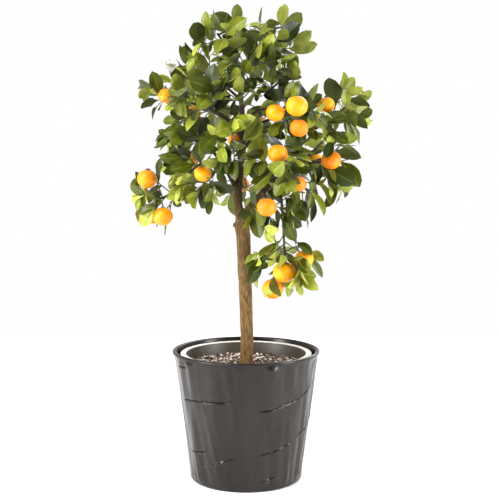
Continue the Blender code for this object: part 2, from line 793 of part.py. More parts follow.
def grow_leaf(mass, taken, node, run, angle, spread, length):
    """A leaf at a node of a twig, where there is room for it."""
    across, upright = square_to(run)
    aside = across * math.cos(angle) + upright * math.sin(angle)
    outward = (node - CROWN_MIDDLE) * Vector((1.0, 1.0, 0.5))
    outward.normalize()
    along = (run * math.cos(spread) + aside * math.sin(spread) + outward * 0.15
             - UP * 0.30).normalized()
    stray = Vector([mass.rng.gauss(0.0, 0.5) for _ in range(3)])
    face = run * 0.35 + outward * 0.5 + UP * 0.2 + stray
    face = (face - along * face.dot(along)).normalized()
    leaf = (node, along, face, length)
    if not all(mass.holds(corner) for corner in leaf_corners(leaf)):
        return False
    if not taken.is_free(mass.name, leaf_room(leaf, 0.12), leaf_room(leaf, 0.0)):
        return False
    taken.add(mass.name, leaf_room(leaf, 0.0))
    mass.leaves.append(leaf)
    return True


def leaf_the_node(mass, taken, shoot, number, angle):
    """The leaf at one node of a shoot, counted from its tip, where one finds room."""
    _, run, _ = shoot.tip()
    span = (shoot.points[-1] - shoot.points[0]).length
    share = 1.0 - (number * LEAF_SPACING + TIP_CLEAR) / span
    if share < BARE_SHARE or len(mass.leaves) >= MOST_LEAVES:
        return
    node, _ = shoot.place(share)
    low, high = TIP_SPREAD if number == 0 else LEAF_SPREAD
    spread = math.radians(mass.rng.uniform(low, high))
    length = mass.rng.uniform(*LEAF_LENGTHS) * (TIP_LEAF_SHARE if number == 0 else 1.0)
    for attempt in range(LEAF_TRIES):
        turn = angle + number * GOLDEN_ANGLE + attempt * TRY_TURN
        if grow_leaf(mass, taken, node, run, turn, spread, length * TRY_SHRINK ** attempt):
            return


def grow_crown(limbs, taken):
    """Grow every mass: stems first, then fruit, then shoots, then leaves."""
    masses = {}
    for name, parent, share, centre, across, upright, _, seed in MASSES:
        limb = limbs[parent] if share == ON_TIP else limbs[name + "_bough"]
        masses[name] = Mass(name, centre, across, upright, limb, seed)
        grow_stem(masses[name], taken)
    for name, centre, diameter in FRUIT:
        grow_fruit(masses[name], taken, Vector(centre), diameter)
    shoots = []
    for mass in masses.values():
        turn = mass.rng.uniform(0.0, 2.0 * math.pi)
        outward = mass.centre - CROWN_MIDDLE
        for index in range(SHOOTS):
            direction = sphere_direction(index, SHOOTS, turn)
            inward = direction.dot(outward) < INWARD_LIMIT * outward.length
            if inward and outward.length < CROWN_DEPTH:
                continue
            shoot = grow_shoot(mass, taken, direction)
            if shoot:
                shoots.append((mass, shoot))
    turns = [mass.rng.uniform(0.0, 2.0 * math.pi) for mass, _ in shoots]
    for number in range(LEAVES_PER_SHOOT):
        for (mass, shoot), turn in zip(shoots, turns):
            leaf_the_node(mass, taken, shoot, number, turn)
    return masses


# Solids of a mass

def leaf_mesh(name, leaf):
    """A flat leaf with a keel under it, as the hull of its outline and its keel point."""
    root, along, face, length = leaf
    keel = root + along * length * LEAF_KEEL_PLACE - face * LEAF_KEEL_DEPTH
    shape = bmesh.new()
    for corner in leaf_corners(leaf) + [keel]:
        shape.verts.new(corner)
    bmesh.ops.convex_hull(shape, input=shape.verts)
    bmesh.ops.dissolve_limit(shape, angle_limit=FLAT_ANGLE, verts=shape.verts, edges=shape.edges)
    bmesh.ops.recalc_face_normals(shape, faces=shape.faces)
    mesh = bpy.data.meshes.new(name)
    shape.to_mesh(mesh)
    shape.free()
    return mesh


def fruit_mesh(name, centre, radius):
    """A slightly flattened orange."""
    shape = bmesh.new()
    bmesh.ops.create_uvsphere(shape, u_segments=FRUIT_SEGMENTS, v_segments=FRUIT_RINGS,
                              radius=radius)
    squash = Matrix.Diagonal((1.0, 1.0, FRUIT_FLATTENED, 1.0))
    bmesh.ops.transform(shape, matrix=Matrix.Translation(centre) @ squash, verts=shape.verts)
    mesh = bpy.data.meshes.new(name)
    shape.to_mesh(mesh)
    shape.free()
    return mesh


def build_mass(mass, collection):
    """Fuse a mass's stem, twigs, fruit and leaves into one solid."""
    group = new_collection("pieces")
    for points, radii in mass.twigs:
        add_object("twig", tube_mesh("twig", points, radii, TWIG_SIDES), group, "twig")
    for centre, radius in mass.fruit:
        add_object("fruit", fruit_mesh("fruit", centre, radius), group, "fruit")
    for leaf in mass.leaves:
        add_object("leaf", leaf_mesh("leaf", leaf), group, "leaf")
    stem = mass.stem
    made = add_object(mass.name + "_foliage",
                      tube_mesh(stem.name, stem.points, stem.radii, stem.sides),
                      collection, "twig")
    boolean(made, "UNION", group=group)
    for item in list(group.objects):
        bpy.data.objects.remove(item)
    bpy.data.collections.remove(group)
    made.data.name = made.name


def main():
    clear_scene()
    new_collection("guides")
    tree = new_collection("potted_orange_tree")
    build_pot(tree)
    build_liner(tree)
    build_soil(tree)
    build_gravel(tree)
    taken = Taken()
    limbs = plan_limbs()
    build_limbs(limbs, taken, tree)
    for mass in grow_crown(limbs, taken).values():
        build_mass(mass, tree)
    for item in list(bpy.data.collections["guides"].objects):
        bpy.data.objects.remove(item)


main()
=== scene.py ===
"""The looks of a small orange tree in a dark pot with the relief of split slate.

The crown grows here by the same seeded rule as its solids, leaf for leaf, and goes on to finer
twigs within the same masses. Metres, +Z up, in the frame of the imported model.
"""

import math
import random

import bmesh
import bpy
import numpy as np
from mathutils import Matrix, Vector, noise
from mathutils.bvhtree import BVHTree


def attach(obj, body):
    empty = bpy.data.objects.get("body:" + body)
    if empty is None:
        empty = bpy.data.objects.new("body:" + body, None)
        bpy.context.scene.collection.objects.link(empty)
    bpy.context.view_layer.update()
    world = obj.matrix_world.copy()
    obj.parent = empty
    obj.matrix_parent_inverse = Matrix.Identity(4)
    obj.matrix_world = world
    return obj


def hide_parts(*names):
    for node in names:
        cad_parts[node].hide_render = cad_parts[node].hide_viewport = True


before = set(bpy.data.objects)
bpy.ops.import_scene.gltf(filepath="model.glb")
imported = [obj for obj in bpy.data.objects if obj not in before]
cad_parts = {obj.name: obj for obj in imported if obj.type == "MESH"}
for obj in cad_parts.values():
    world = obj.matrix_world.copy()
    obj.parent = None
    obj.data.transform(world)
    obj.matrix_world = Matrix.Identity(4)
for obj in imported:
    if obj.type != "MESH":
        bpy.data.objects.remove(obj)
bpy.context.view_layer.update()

GAP = 0.0003
UP = Vector((0.0, 0.0, 1.0))
FULL_TURN = 2.0 * math.pi
GOLDEN_ANGLE = math.pi * (3.0 - math.sqrt(5.0))

# Pots, soil and gravel, as in the solids
POT_HEIGHT = 0.228
RIM_RADIUS = 0.130
FOOT_RADIUS = 0.099
POT_WALL = 0.0055
POT_FLOOR = 0.008
LIP_HEIGHT = 0.0055
LIP_PROUD = 0.003
LIP_WIDTH = 0.0075
FOOT_CHAMFER = 0.003
SLATE_WAVE = 0.0009
FLANGE_TOP = 0.222
FLANGE_OUTER = 0.116
FLANGE_INNER = 0.106
FLANGE_THICKNESS = 0.0025
LINER_WALL = 0.002
LINER_FOOT_RADIUS = 0.084
SOIL_TOP = 0.1985
GRAVEL_TOP = 0.2025
TRUNK_HOLE = 0.0143

# Trunk: height and sideways lean of its centre line, then its radius along that line
TRUNK_LEAN = ((0.1988, 0.0), (0.244, 0.0017), (0.280, 0.0008), (0.351, -0.0018),
              (0.4215, -0.0044), (0.453, -0.0075), (0.468, -0.0065))
TRUNK_RADII = ((0.0, 0.0136), (0.03, 0.0122), (0.08, 0.0114), (0.35, 0.0113), (0.55, 0.0118),
               (0.80, 0.0124), (0.93, 0.0131), (1.0, 0.0090))
TRUNK_POINTS = 14
TRUNK_SIDES = 9
KNOT_HEIGHT = 0.443
KNOT_REACH = 0.0165
KNOT_RADIUS = 0.0052
KNOT_DIRECTION = Vector((-0.95, -0.20, 0.22))

# Leader: the trunk's main limb above the fork
LEADER_LEAN = ((0.456, -0.0085), (0.4916, -0.0140), (0.5438, -0.0104), (0.613, -0.0052),
               (0.6817, -0.0103), (0.722, -0.0180))
LEADER_RADII = ((0.0, 0.0095), (0.08, 0.0074), (0.5, 0.0058), (1.0, 0.0030))
LEADER_POINTS = 10
LEADER_SIDES = 7

# The two scaffold boughs: parent, place along it, tip, rise of the middle, foot and tip radius
SCAFFOLD = (
    ("right_bough", "trunk", 0.965, (0.112, -0.020, 0.556), 0.020, 0.0080, 0.0028),
    ("left_bough", "leader", 0.180, (-0.066, -0.038, 0.584), 0.010, 0.0050, 0.0026),
)
SCAFFOLD_POINTS = 8

# Masses of foliage: name, limb that carries it, place along that limb, centre, radius across,
# radius up and down, rise of its bough as a share of the bough's length, and seed of its growth.
# A mass at ON_TIP takes the limb's own tip and needs no bough.
ON_TIP = 2.0
MASSES = (
    ("top_left", "leader", ON_TIP, (-0.044, -0.020, 0.767), 0.058, 0.060, 0.0, 2),
    ("left_shoulder", "leader", 0.77, (-0.085, -0.015, 0.722), 0.044, 0.044, 0.05, 22),
    ("top_right", "leader", 0.93, (0.060, 0.020, 0.766), 0.059, 0.060, 0.05, 1),
    ("top_front", "leader", 0.84, (0.004, -0.075, 0.728), 0.055, 0.058, 0.10, 15),
    ("outer_left", "leader", 0.58, (-0.139, -0.010, 0.678), 0.048, 0.048, 0.10, 19),
    ("upper_left", "leader", 0.53, (-0.075, -0.090, 0.662), 0.060, 0.058, 0.10, 46),
    ("upper_front", "leader", 0.64, (-0.010, -0.112, 0.668), 0.048, 0.048, 0.10, 45),
    ("upper_right", "leader", 0.72, (0.056, -0.080, 0.692), 0.050, 0.048, 0.10, 52),
    ("outer_right", "leader", 0.55, (0.168, 0.000, 0.647), 0.060, 0.062, 0.14, 60),
    ("fruiting_right", "leader", 0.45, (0.080, -0.100, 0.639), 0.055, 0.050, 0.12, 56),
    ("middle_left", "left_bough", ON_TIP, (-0.098, -0.060, 0.592), 0.052, 0.050, 0.0, 5),
    ("centre_front", "leader", 0.36, (-0.022, -0.130, 0.588), 0.056, 0.055, 0.12, 30),
    ("right_front", "right_bough", 0.42, (0.052, -0.130, 0.560), 0.052, 0.052, 0.14, 58),
    ("middle_right", "right_bough", 0.86, (0.140, -0.050, 0.606), 0.045, 0.040, 0.05, 58),
    ("right_drop", "right_bough", ON_TIP, (0.150, -0.020, 0.553), 0.048, 0.067, 0.0, 17),
    ("lower_outer_left", "left_bough", 0.62, (-0.151, -0.030, 0.494), 0.046, 0.064, 0.16, 24),
    ("lower_left", "left_bough", 0.40, (-0.078, -0.090, 0.527), 0.054, 0.054, 0.22, 36),
    ("lower_right", "right_bough", 0.28, (0.045, -0.095, 0.478), 0.054, 0.055, 0.18, 54),
    ("lower_outer_right", "right_bough", 0.72, (0.107, -0.040, 0.508), 0.044, 0.057, 0.16, 30),
    ("hanging", "right_bough", 0.54, (0.068, -0.060, 0.386), 0.066, 0.062, 0.12, 31),
    ("back_top", "leader", 0.88, (-0.002, 0.080, 0.735), 0.056, 0.058, 0.10, 40),
    ("back_upper_left", "leader", 0.66, (-0.080, 0.110, 0.660), 0.058, 0.056, 0.12, 22),
    ("back_upper_right", "leader", 0.62, (0.075, 0.120, 0.665), 0.058, 0.056, 0.12, 34),
    ("back_middle", "leader", 0.49, (-0.002, 0.160, 0.610), 0.060, 0.058, 0.12, 32),
    ("back_left", "leader", 0.32, (-0.105, 0.090, 0.560), 0.058, 0.056, 0.12, 13),
    ("back_right", "leader", 0.40, (0.095, 0.095, 0.565), 0.058, 0.056, 0.14, 15),
    ("back_low", "leader", 0.22, (0.000, 0.110, 0.515), 0.056, 0.054, 0.14, 50),
)
BOUGH_POINTS = 5
BOUGH_TAPER = 0.7
BOUGH_SIDES = 5
BOUGH_FOOT_RADIUS = 0.0038
BOUGH_TIP_RADIUS = 0.0021
FOOT_SHARE_OF_PARENT = 0.72
ENTRY = 0.86

# Oranges: mass, centre and diameter
FRUIT = (
    ("outer_left", (-0.135, -0.040, 0.669), 0.027),
    ("fruiting_right", (0.081, -0.150, 0.645), 0.035),
    ("outer_right", (0.135, -0.050, 0.653), 0.029),
    ("fruiting_right", (0.047, -0.140, 0.635), 0.030),
    ("fruiting_right", (0.085, -0.140, 0.611), 0.030),
    ("right_front", (0.051, -0.150, 0.570), 0.032),
    ("right_drop", (0.144, -0.050, 0.561), 0.034),
    ("lower_left", (-0.070, -0.110, 0.538), 0.028),
    ("lower_outer_left", (-0.167, -0.050, 0.529), 0.034),
    ("lower_outer_right", (0.087, -0.080, 0.521), 0.028),
    ("lower_right", (0.034, -0.140, 0.485), 0.032),
    ("lower_outer_left", (-0.140, -0.060, 0.466), 0.034),
    ("lower_outer_left", (-0.161, -0.018, 0.464), 0.029),
    ("hanging", (0.064, -0.090, 0.375), 0.038),
    ("hanging", (0.046, -0.060, 0.343), 0.037),
    ("hanging", (0.098, -0.070, 0.395), 0.032),
    ("back_upper_left", (-0.100, 0.145, 0.650), 0.031),
    ("back_upper_right", (0.085, 0.160, 0.655), 0.034),
    ("back_middle", (-0.020, 0.205, 0.600), 0.033),
    ("back_middle", (0.030, 0.190, 0.630), 0.029),
    ("back_left", (-0.110, 0.130, 0.560), 0.034),
    ("back_right", (0.130, 0.125, 0.560), 0.032),
    ("back_low", (-0.010, 0.150, 0.515), 0.033),
)
FRUIT_FLATTENED = 0.93
STALK_RADIUS = 0.0013
STALK_RISE = 0.002
STALK_SUNK = 0.6

# Growth inside a mass
STEM_POINTS = 4
STEM_SIDES = 4
STEM_PAST_CENTRE = 0.18
STEM_TIP_RADIUS = 0.0018
TWIG_SIDES = 3
TWIG_FOOT_RADIUS = 0.0012
TWIG_TIP_RADIUS = 0.0008
SHOOTS = 9
INWARD_LIMIT = -0.25
CROWN_DEPTH = 0.20
SHOOT_REACH = 0.66
SPACE = 1.15
LEAF_LENGTHS = (0.045, 0.060)
LEAF_WIDTH_SHARE = 0.58
LEAF_SPACING = 0.008
LEAVES_PER_SHOOT = 6
MOST_LEAVES = 16
TIP_LEAF_SHARE = 0.88
TIP_SPREAD = (4.0, 14.0)
LEAF_SPREAD = (42.0, 68.0)
TIP_CLEAR = 0.0008
BARE_SHARE = 0.25
LEAF_TRIES = 5
TRY_TURN = 1.3
TRY_SHRINK = 0.92
LEAF_EDGE = ((0.33, 0.94), (0.72, 0.80))
LEAF_KEEL_DEPTH = 0.0012
CROWN_MIDDLE = Vector((0.0, 0.0, 0.600))
TOUCH_GAP = 0.0006
NEARLY_UPRIGHT = 0.9
STEM_STRAIGHT = 0.003
STEM_BEND = 0.4
BALL_ROWS = (-0.98, -0.6, 0.0, 0.6, 0.98)
BALL_SIDES = 8
BALL_GROWN = 1.06
STALK_FEET = [step / 10.0 for step in range(2, 11)]
STALK_BEND = 0.6
STALK_ARCH = 0.4
SHOOT_FEET = (0.25, 0.65)
SHOOT_SKIN = 0.006
SHOOT_SKIN_MOST = 0.8
LEAF_OUTWARD = 0.15
LEAF_DROOP = 0.30
LEAF_STRAY = 0.5
LEAF_FACING = (0.35, 0.5, 0.2)
LEAF_SKIN = 0.12
CROWN_OUTWARD = Vector((1.0, 1.0, 0.5))

# Split-slate relief of the pot: cracks and ridges as degrees round from the front and heights
CRACKS = (
    ((-68.0, 0.150), (-45.0, 0.155), (-32.0, 0.157), (-21.0, 0.158), (-9.0, 0.161)),
    ((6.0, 0.143), (25.0, 0.147), (34.0, 0.152), (46.0, 0.156), (61.0, 0.168), (84.0, 0.186)),
    ((8.0, 0.065), (27.0, 0.072), (46.0, 0.085), (57.0, 0.095), (77.0, 0.104), (92.0, 0.118)),
    ((-66.0, 0.060), (-50.0, 0.062), (-35.0, 0.069)),
    ((57.0, 0.013), (78.0, 0.026)),
    ((-74.0, 0.206), (-49.0, 0.211)),
    ((108.0, 0.120), (130.0, 0.135), (152.0, 0.140), (170.0, 0.151)),
    ((-170.0, 0.090), (-140.0, 0.080), (-112.0, 0.066)),
    ((120.0, 0.050), (146.0, 0.062), (174.0, 0.060)),
    ((-160.0, 0.176), (-128.0, 0.184), (-96.0, 0.178)),
)
RIDGES = (((-48.0, 0.035), (-25.0, 0.050), (-6.0, 0.062)),
          ((10.0, 0.014), (34.0, 0.025)))
RIDGE_RISE = 0.0020
RIDGE_WIDTH = 0.0024
CRACK_FADE = 9.0
CRACK_JAG = 0.0022
JAGS_PER_DEGREE = 0.45
CRACK_DEPTH = 0.0020
CRACK_WIDTH = 0.0013
# Half width of the band along a crack that is painted near-black: painted shade in the groove
CRACK_SHADE_WIDTH = 0.0008
LEDGE_RISE = 0.0014
LEDGE_REACH = 0.012

# Broad swells: share of SLATE_WAVE, turns, phase, and how far they climb. Then folds, slanting
# streaks and grain: rise, waves round the pot, waves up it, share of the slant
SLATE_WAVES = ((1.0, 3.0, 0.7, 0.0), (0.6, 5.0, -1.1, 9.0), (0.5, 8.0, 0.0, 40.0))
RELIEF_NOISES = ((0.0030, 4.5, 5.0, 0.0), (0.0020, 9.0, 3.0, 1.0), (0.00008, 40.0, 130.0, 0.0))
SLANT_UP = 9.0
SLANT_ROUND = 0.9
RELIEF_FADE = (0.012, 0.008)

# Meshes of the pots: rings and columns, and the ring that stands for a point on the axis
AXIS_RADIUS = 0.0005
POT_ROWS = 150
POT_COLUMNS = 540
LIP_ROWS = 10
LIP_SQUASH = 0.6
UNDER_LIP = (0.0004, 0.0008)
INSIDE_LIP = (0.001, 0.002)
ROUNDED = 0.3
LINER_COLUMNS = 180
FLANGE_BEVEL = 0.0007
WALL_FOOT = SOIL_TOP - 0.004

# Angles in degrees above which an edge shows, from the turned flange to the smooth bark
TURNED_EDGES = 30.0
GRAIN_EDGES = 40.0
LEAF_EDGES = 45.0
THIN_EDGES = 50.0
ROUND_EDGES = 60.0
NO_EDGES = 180.0

# Gravel: granules by name, share, darker and lighter colour, then their shapes and their bed
PUMICE = (
    ("pumice_pale", 0.20, (0.60, 0.50, 0.44), (0.86, 0.78, 0.71)),
    ("pumice_tan", 0.25, (0.22, 0.165, 0.115), (0.40, 0.32, 0.25)),
    ("pumice_brown", 0.55, (0.045, 0.027, 0.017), (0.13, 0.085, 0.055)),
)
PUMICE_SCALE = 90.0
EARTH = ((0.020, 0.012, 0.008), (0.075, 0.045, 0.028))
FINES_SCALE = 300.0
SOIL_SCALE = 200.0
GRANULES = 1900
GRANULE_RADII = (0.0014, 0.0030)
GRANULE_CLEAR = 0.4
GRANULE_SUNK = 0.0022
GRANULE_LIFT = 0.0014
GRANULE_ROUGH = 0.38
GRANULE_LUMPS = 1.1
SHIFTS = 50.0
GRANULE_WIDTHS = (0.65, 1.0)
GRANULE_HEIGHTS = (0.55, 0.85)
GRANULE_TILT = 0.6
GRAVEL_EDGE = 0.003
GRAVEL_HEAP = 0.0018
HEAPS = 45.0
FINES_ROWS = 40
FINES_COLUMNS = 160
FINES_FROM = 0.001
FINES_SUNK = 0.0026
FINES_BUMP = 0.0009
FINES_LUMPS = 260.0
FINES_LAYER = 3.0

# Bark: size of its voxels, then its relief as rise, waves across, waves up and shift
BARK_VOXEL = 0.0013
BARK_SMOOTHING = (3, 0.5)
BARK_RELIEF = ((0.00045, 210.0, 34.0, 0.0), (0.0006, 70.0, 45.0, 9.0))
BARK_THIN = 0.35
# Painted shade of the crown: between these heights the bark is multiplied much darker; the bark
# relief also thins from the first
BARK_DARKENS_FROM = 0.445
BARK_DARKENS_TO = 0.52
BARK_CROWN_SHADE = (0.18, 0.18, 0.20, 1.0)
BARK_PLAIN = (0.20, 0.115, 0.048)
BARK_COLOURS = ((0.040, 0.021, 0.007), (0.135, 0.074, 0.022), (0.25, 0.155, 0.064))
BARK_SIDES = (24, 12)
ROWS_PER_POINT = 4
KNOT_ROWS = 6
KNOT_WAIST = 0.8
KNOT_TAPER = (1.2, 1.0, 0.6)

# Finer growth on the rule's shoots
SIDE_SHOOTS = 3
SIDE_FEET = (0.35, 0.92)
SIDE_LEAN = (28.0, 62.0)
SIDE_LENGTHS = (0.016, 0.034)
SIDE_RISE = 0.002
SIDE_TAPER = (1.0, 0.9, 0.7)
SIDE_SKIN = 0.3
SIDE_LEAVES = 4
SIDE_SPACING = 0.007
SIDE_BARE = 0.1
SIDE_LEAF_LENGTHS = (0.026, 0.046)
STEM_MESH = (8, 14)
TWIG_MESH = (6, 6)
STALK_MESH = (6, 12)
WOODY_TWIG = (0.060, 0.050, 0.022)
GREEN_TWIG = (0.100, 0.135, 0.040)

# Leaves: the blade's outline, how each one differs, and tints by name: upper side, under side, rib
LEAF_ROWS = 9
LEAF_COLUMNS = np.array([-1.0, -0.55, -0.07, 0.07, 0.55, 1.0])
PETIOLE_SHARE = 0.10
PETIOLE_WIDTH = 0.06
BLADE_SHIFT = 0.92
BLADE_BLUNT = 0.54
BLADE_TIP_WIDTH = 0.02
LEAF_HALF_THICKNESS = 0.00015
LEAF_WIDTHS = (0.88, 1.02)
LEAF_CURLS = (0.02, 0.16)
LEAF_FOLDS = (0.10, 0.34)
LEAF_WAVES = (0.0, 0.05)
LEAF_ARCH = 0.35
WAVES_PER_LEAF = 9.0
# How far out a leaf sits lifts its tint: painted light towards the rim of the crown, painted shade
# inside it
CROWN_REACH = 0.21
CROWN_FLAT = 0.85
TINT_CHANCE = 0.62
TINT_PAINTED_LIGHT_OUTWARD = 0.55
TINT_YOUNG = 4.0
TINT_LENGTH = 0.045
TINT_STEPS = (0.42, 0.62, 0.80, 0.95)
LEAF_SIDES = (("top", 0.36), ("under", 0.6), ("midrib", 0.5))
# Tints run from darkest to lightest: partly the age of a leaf, partly painted shade and light by its
# place in the crown
LEAF_TINTS = (
    ("deep", (0.010, 0.018, 0.001), (0.038, 0.054, 0.008), (0.036, 0.052, 0.007)),
    ("dark", (0.028, 0.042, 0.002), (0.060, 0.078, 0.010), (0.070, 0.092, 0.010)),
    ("middle", (0.070, 0.088, 0.004), (0.105, 0.126, 0.015), (0.150, 0.180, 0.016)),
    ("fresh", (0.180, 0.210, 0.012), (0.220, 0.250, 0.032), (0.300, 0.330, 0.040)),
    ("young", (0.330, 0.365, 0.036), (0.350, 0.380, 0.060), (0.450, 0.480, 0.090)),
)

# Fruit: its dimples as depth and width, its lobes, and rinds by share, darker and lighter colour
FRUIT_ROWS = 20
FRUIT_COLUMNS = 32
FRUIT_TILT = 0.12
POLE_GAP = 0.002
STALK_DIMPLE = (0.075, 0.33)
TIP_DIMPLE = (0.03, 0.2)
LOBES = 5.0
LOBE_RISE = 0.007
RINDS = ((0.45, (0.9114, 0.320, 0.0032), (0.98, 0.400, 0.004)),
         (0.35, (0.9114, 0.272, 0.0032), (0.98, 0.340, 0.004)),
         (0.20, (0.8742, 0.220, 0.0040), (0.94, 0.275, 0.005)))
RIND_PORES = (900.0, 0.35, 0.0006)
CALYX_PLACE = 0.915
CALYX_TOP = 0.0012
CALYX_POINTS = ((0.0045, 0.0016), (0.0021, 0.0008)) * 5
CALYX_THICKNESS = 0.0007
CALYX_GREEN = (0.12, 0.17, 0.04)

# Blossom: places of the flowers and of their stalks' foot, then reach, half width and lift of a
# petal's rows as shares of its length
BLOSSOMS = ((-0.133, -0.034, 0.722), (-0.127, -0.038, 0.727), (-0.124, -0.030, 0.719),
            (-0.130, -0.040, 0.715))
BLOSSOM_FOOT = Vector((-0.128, -0.024, 0.704))
PETALS = 5
PETAL_LENGTH = 0.0065
PETAL_ROWS = ((0.0, 0.10, 0.0), (0.35, 0.34, 0.10), (0.7, 0.36, 0.12), (1.0, 0.10, -0.02))
PETAL_STRAY = 0.15
PETAL_THICKNESS = 0.0003
PETAL_WHITE = (0.78, 0.77, 0.70)
STAMENS = 7
STAMEN_LENGTH = 0.0035
STAMEN_MESH = (5, 3)
FLOWER_STALK_MESH = (5, 6)
STAMEN_RADII = (0.0003, 0.0005)
STAMEN_LEAN = 0.3
FLOWER_TURN = 0.6
FLOWER_FRONT = -0.7
FLOWER_RISE = (0.2, 0.9)
FLOWER_STALK_SAG = 0.001
STAMEN_YELLOW = (0.70, 0.55, 0.12)
BLOSSOM_STALK_RADII = (0.0006, 0.0005, 0.0005)
BLOSSOM_STALK_GREEN = (0.16, 0.22, 0.06)

# Kinds of finish: roughness, specular level, shades of the plain colour, places of the shades on
# a noise, that noise, and bumps. A noise is its scale, detail, roughness and stretch, and a bump is
# its noise, strength and height
NOISE_DEFAULTS = (1.0, 4.0, 0.55, (1.0, 1.0, 1.0))
TWIG_NOISE = (500.0, 3.0, 0.55, (1.0, 1.0, 0.4))
FISSURES = (420.0, 6.0, 0.65, (1.0, 1.0, 0.22))
SPECKS = (900.0, 2.0, 0.55, (1.0, 1.0, 0.6))
MOTTLE = (22.0, 6.0, 0.6, (1.0, 1.0, 0.5))
KINDS = {
    "leaf": (0.50, 0.30, (0.82, 1.16), (0.35, 0.65), (90.0, 2.0), ((260.0, 3.0), 0.25, 0.0012)),
    "rind": (0.34, 0.32, (), (0.38, 0.62), (55.0, 3.0)),
    "twig": (0.55, 0.40, (0.6, 1.0), (0.35, 0.60), TWIG_NOISE, (TWIG_NOISE, 0.4, 0.0006)),
    "bark": (0.82, 0.30, (), (0.30, 0.47, 0.66), FISSURES, (FISSURES, 0.8, 0.0016),
             (SPECKS, 0.4, 0.0006)),
    "glaze": (0.25, 0.28, (), (0.30, 0.70), MOTTLE, ((330.0, 5.0), 0.18, 0.0008)),
    "grit": (0.90, 0.25, (), (0.35, 0.65), (1.0, 3.0), ((6.0, 4.0), 0.6, 0.0006)),
    "plastic": (0.45, 0.50, (0.85, 1.0), (0.35, 0.65), (30.0, 3.0), ((700.0, 2.0), 0.15, 0.0003)),
}
GLAZE_PLAIN = (0.030, 0.026, 0.024)
GLAZE_COLOURS = ((0.008, 0.006, 0.005), (0.021, 0.016, 0.013))
GLAZE_GLOSS = (0.16, 0.34)
GLOSS_NOISE = (60.0, 4.0, 0.55, (1.0, 1.0, 0.5))
# Near-black colours painted along the cracks as the shade in their grooves
CRACK_SHADE_COLOURS = ((0.004, 0.004, 0.004), (0.010, 0.009, 0.008))
CRACK_SCALE = 120.0
# Pale colour of the grow pot's flange: painted reflection of the bright room on its flat top, over
# brown plastic
FLANGE_REFLECTION_COLOUR = (0.80, 0.77, 0.72)
BROWN_PLASTIC = (0.060, 0.045, 0.030)
PALE_GLOSS = 0.35

# Studio: the photograph's camera, the floor, the sky's darker side and soft boxes by place, size
# and power
FOCAL_PIXELS = 965.0
FRAME_PIXELS = 500.0
SENSOR_WIDTH = 36.0
CAMERA_PLACE = (0.007, -1.687, 0.5515)
CAMERA_PITCH = 5.0
FLOOR_HALF = 1.5
FLOOR_WHITE = (0.97, 0.97, 0.97)
FLOOR_ROUGHNESS = 0.7
FLOOR_SPECULAR = 0.1
FLOOR_BUMP = ((40.0,), 0.02, 0.001)
FLOOR_GLOW = 0.16
AMBIENT = 0.74
DARK_SIDE = 0.12
DARK_FROM = 0.30
DARK_TO = 0.85
LIT_MIDDLE = Vector((0.0, 0.0, 0.45))
SOFT_BOXES = (
    ("key_light", (-1.1, -1.3, 1.9), (0.7, 0.7), 44.0),
    ("left_strip", (-1.35, -0.70, 0.40), (0.45, 1.3), 32.0),
    ("right_strip", (1.35, -0.60, 0.40), (0.45, 1.3), 30.0),
    ("back_light", (0.9, 1.3, 1.5), (1.4, 1.4), 26.0),
)


# The rule of growth, as in the solids

def between(table, place):
    """The value at place, read between the rows of a table of (place, value)."""
    for (low, first), (high, second) in zip(table, table[1:]):
        if place <= high:
            return first + (second - first) * (place - low) / (high - low)
    return table[-1][1]


def steps(count):
    """Even steps from 0 to 1."""
    return [index / (count - 1) for index in range(count)]


def curve_point(start, middle, end, share):
    """A point of the quadratic Bezier curve with these three control points."""
    return start.lerp(middle, share).lerp(middle.lerp(end, share), share)


def smooth_line(knots, count):
    """Evenly placed points of a Catmull-Rom curve through these knots."""
    ends = [knots[0] * 2 - knots[1]] + list(knots) + [knots[-1] * 2 - knots[-2]]
    reach = [0.0]
    for first, second in zip(knots, knots[1:]):
        reach.append(reach[-1] + (second - first).length)
    points = []
    for index in range(count):
        place = reach[-1] * index / (count - 1)
        span = max(k for k in range(len(knots) - 1) if reach[k] <= place)
        t = min((place - reach[span]) / (reach[span + 1] - reach[span]), 1.0)
        a, b, c, d = ends[span:span + 4]
        points.append(0.5 * (2 * b + (c - a) * t + (2 * a - 5 * b + 4 * c - d) * t ** 2
                             + (3 * b - a - 3 * c + d) * t ** 3))
    return points


def square_to(direction):
    """Two unit vectors square to this direction and to each other."""
    rough = UP if abs(direction.z) < NEARLY_UPRIGHT else Vector((1.0, 0.0, 0.0))
    across = direction.cross(rough).normalized()
    return across, direction.cross(across).normalized()


def swing(axes, angle):
    """The direction at an angle round a line, from two unit vectors square to it."""
    return axes[0] * math.cos(angle) + axes[1] * math.sin(angle)


def pot_outer_radius(height):
    """Radius of the pot's straight outer side at a height."""
    top = POT_HEIGHT - LIP_HEIGHT
    return FOOT_RADIUS + (RIM_RADIUS - LIP_PROUD - FOOT_RADIUS) * height / top


def slate_wave(angle, height):
    """Broad hollows and swells of the split-slate side."""
    total = sum(rise * math.sin(turns * angle + phase + climb * height)
                for rise, turns, phase, climb in SLATE_WAVES)
    return SLATE_WAVE * total * 0.5


def liner_inner_radius(height):
    """Radius of the grow pot's inner side at a height."""
    foot = POT_FLOOR + GAP + LINER_WALL
    share = (height - foot) / (FLANGE_TOP - foot)
    return (LINER_FOOT_RADIUS - LINER_WALL) * (1.0 - share) + FLANGE_INNER * share


